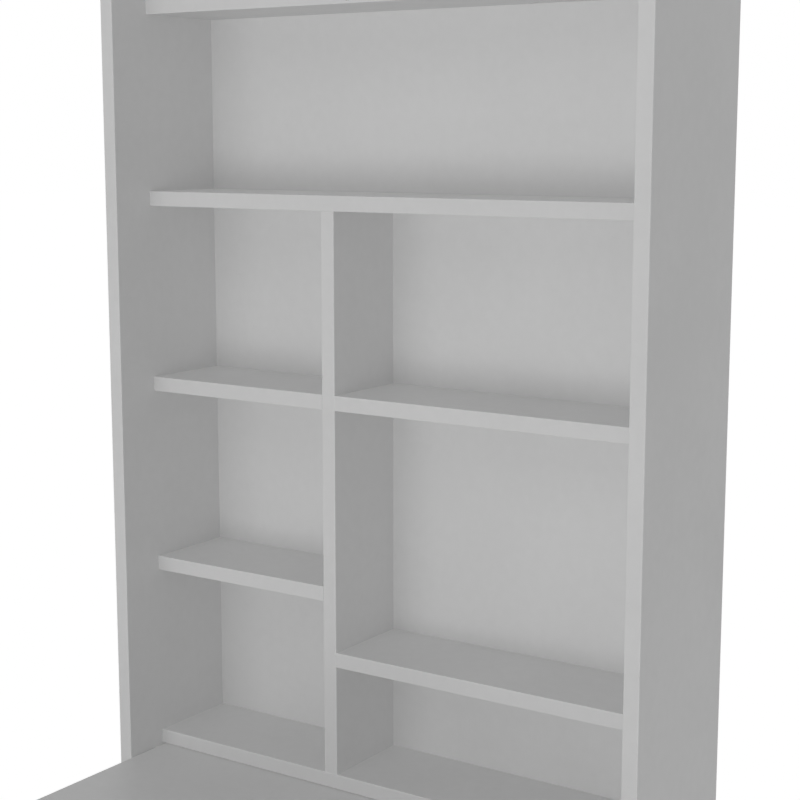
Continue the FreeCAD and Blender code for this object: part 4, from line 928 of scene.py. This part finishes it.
bpy.ops.object.select_all(action="DESELECT")
bpy.ops.mesh.primitive_plane_add(size=FLOOR_SIZE, location=(0, 0, FLOOR_LEVEL))
floor = bpy.context.object
floor.name = "studio_floor"
bpy.ops.object.transform_apply(location=True, rotation=True, scale=True)
floor_paint, floor_place = blank("studio_floor")
matt = floor_place.node("BsdfDiffuse", {}, {"Color": grey(FLOOR_PALE)})
lift = looked_at(floor_place) * FLOOR_LIFT
glow = floor_place.node("Emission", {}, {"Color": grey(1.0), "Strength": lift})
upper = floor_place.node("AddShader", {}, {0: matt, 1: glow})
under = floor_place.node("BsdfTransparent", {}, {})
seen_from_below = floor_place.node("NewGeometry", {}, {}, "Backfacing")
one_sided = floor_place.node("MixShader", {}, {0: seen_from_below, 1: upper, 2: under})
floor_place.node("OutputMaterial", {}, {"Surface": one_sided})
painted(floor, floor_paint)
floor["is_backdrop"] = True


# Light: a pale room, three softboxes in front of the object, and faint fills from all sides that cast
# no shadow, as the walls of a light tent do. One soft light from above is for the floor alone.
AMBIENT = 0.32
BACKDROP = 1.0
SOFTBOX_AIM = Vector((0.0, -0.1, -0.3))
SOFTBOX_SIZE = 1.4
SOFTBOXES = {"left": ((-0.9, -3.3, -0.5), 14.26), "right": ((0.9, -3.2, -1.0), 20.2),
             "high": ((0.0, -2.8, 1.6), 6.36)}
FILLS = {"front": ((0, -1, 0), 0.605), "right": ((1, 0, 0), 0.532), "left": ((-1, 0, 0), 0.5),
         "top": ((0, 0, 1), 0.622), "below": ((0, 0, -1), 0.437), "back": ((0, 1, 0), 0.75)}
FLOOR_LIGHT = 0.98
FLOOR_LIGHT_FROM = (0.1, -0.25, 1.0)
FLOOR_SPREAD = math.radians(32.0)

world = bpy.data.worlds.new("studio")
bpy.context.scene.world = world
world.use_nodes = True
world.node_tree.nodes.clear()
air = Tone(world.node_tree, None)
room = air.node("Background", {}, {"Color": grey(1.0), "Strength": AMBIENT})
backdrop = air.node("Background", {}, {"Color": grey(1.0), "Strength": BACKDROP})
surroundings = air.node("MixShader", {}, {0: looked_at(air), 1: room, 2: backdrop})
air.node("OutputWorld", {}, {"Surface": surroundings})


def floor_group(name, state):
    """A group that a lamp reaches: the floor alone, or all but the floor."""
    group = bpy.data.collections.new(name)
    group.objects.link(floor)
    group.collection_objects[0].light_linking.link_state = state
    return group


floor_alone = floor_group("floor_alone", "INCLUDE")
all_but_floor = floor_group("all_but_floor", "EXCLUDE")


def lamp(name, kind, toward, energy, place=(0.0, 0.0, 0.0), reaches=all_but_floor):
    """A lamp that stands at a place and shines back from a direction."""
    light = bpy.data.lights.new(name, kind)
    light.energy = energy
    holder = bpy.data.objects.new(name, light)
    bpy.context.scene.collection.objects.link(holder)
    holder.location = place
    holder.rotation_euler = Vector(toward).to_track_quat("Z", "Y").to_euler()
    holder.light_linking.receiver_collection = reaches
    return holder


for side, (place, power) in SOFTBOXES.items():
    softbox = lamp(side + "_softbox", "AREA", Vector(place) - SOFTBOX_AIM, power, place)
    softbox.data.size = SOFTBOX_SIZE
for side, (toward, strength) in FILLS.items():
    fill = lamp(side + "_fill", "SUN", toward, strength)
    fill.data.use_shadow = False
    fill.visible_glossy = False
floor_light = lamp("floor_light", "SUN", FLOOR_LIGHT_FROM, FLOOR_LIGHT, reaches=floor_alone)
floor_light.data.angle = FLOOR_SPREAD


# Camera: in front of the cabinet and to its right, level with the top compartment and tipped down, so that
# the open cabinet and the desk's rear end fill the picture.
CAMERA_PLACE = (0.8869, -1.3919, -0.0386)
CAMERA_TILT = math.radians(81.007)
CAMERA_TURN = math.radians(34.183)
CAMERA_LENS = 74.80

camera_data = bpy.data.cameras.new("camera")
camera_data.lens = CAMERA_LENS
camera = bpy.data.objects.new("camera", camera_data)
bpy.context.scene.collection.objects.link(camera)
camera.location = CAMERA_PLACE
camera.rotation_euler = (CAMERA_TILT, 0.0, CAMERA_TURN)
bpy.context.scene.camera = camera
bpy.context.scene.view_settings.view_transform = "Standard"

low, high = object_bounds()
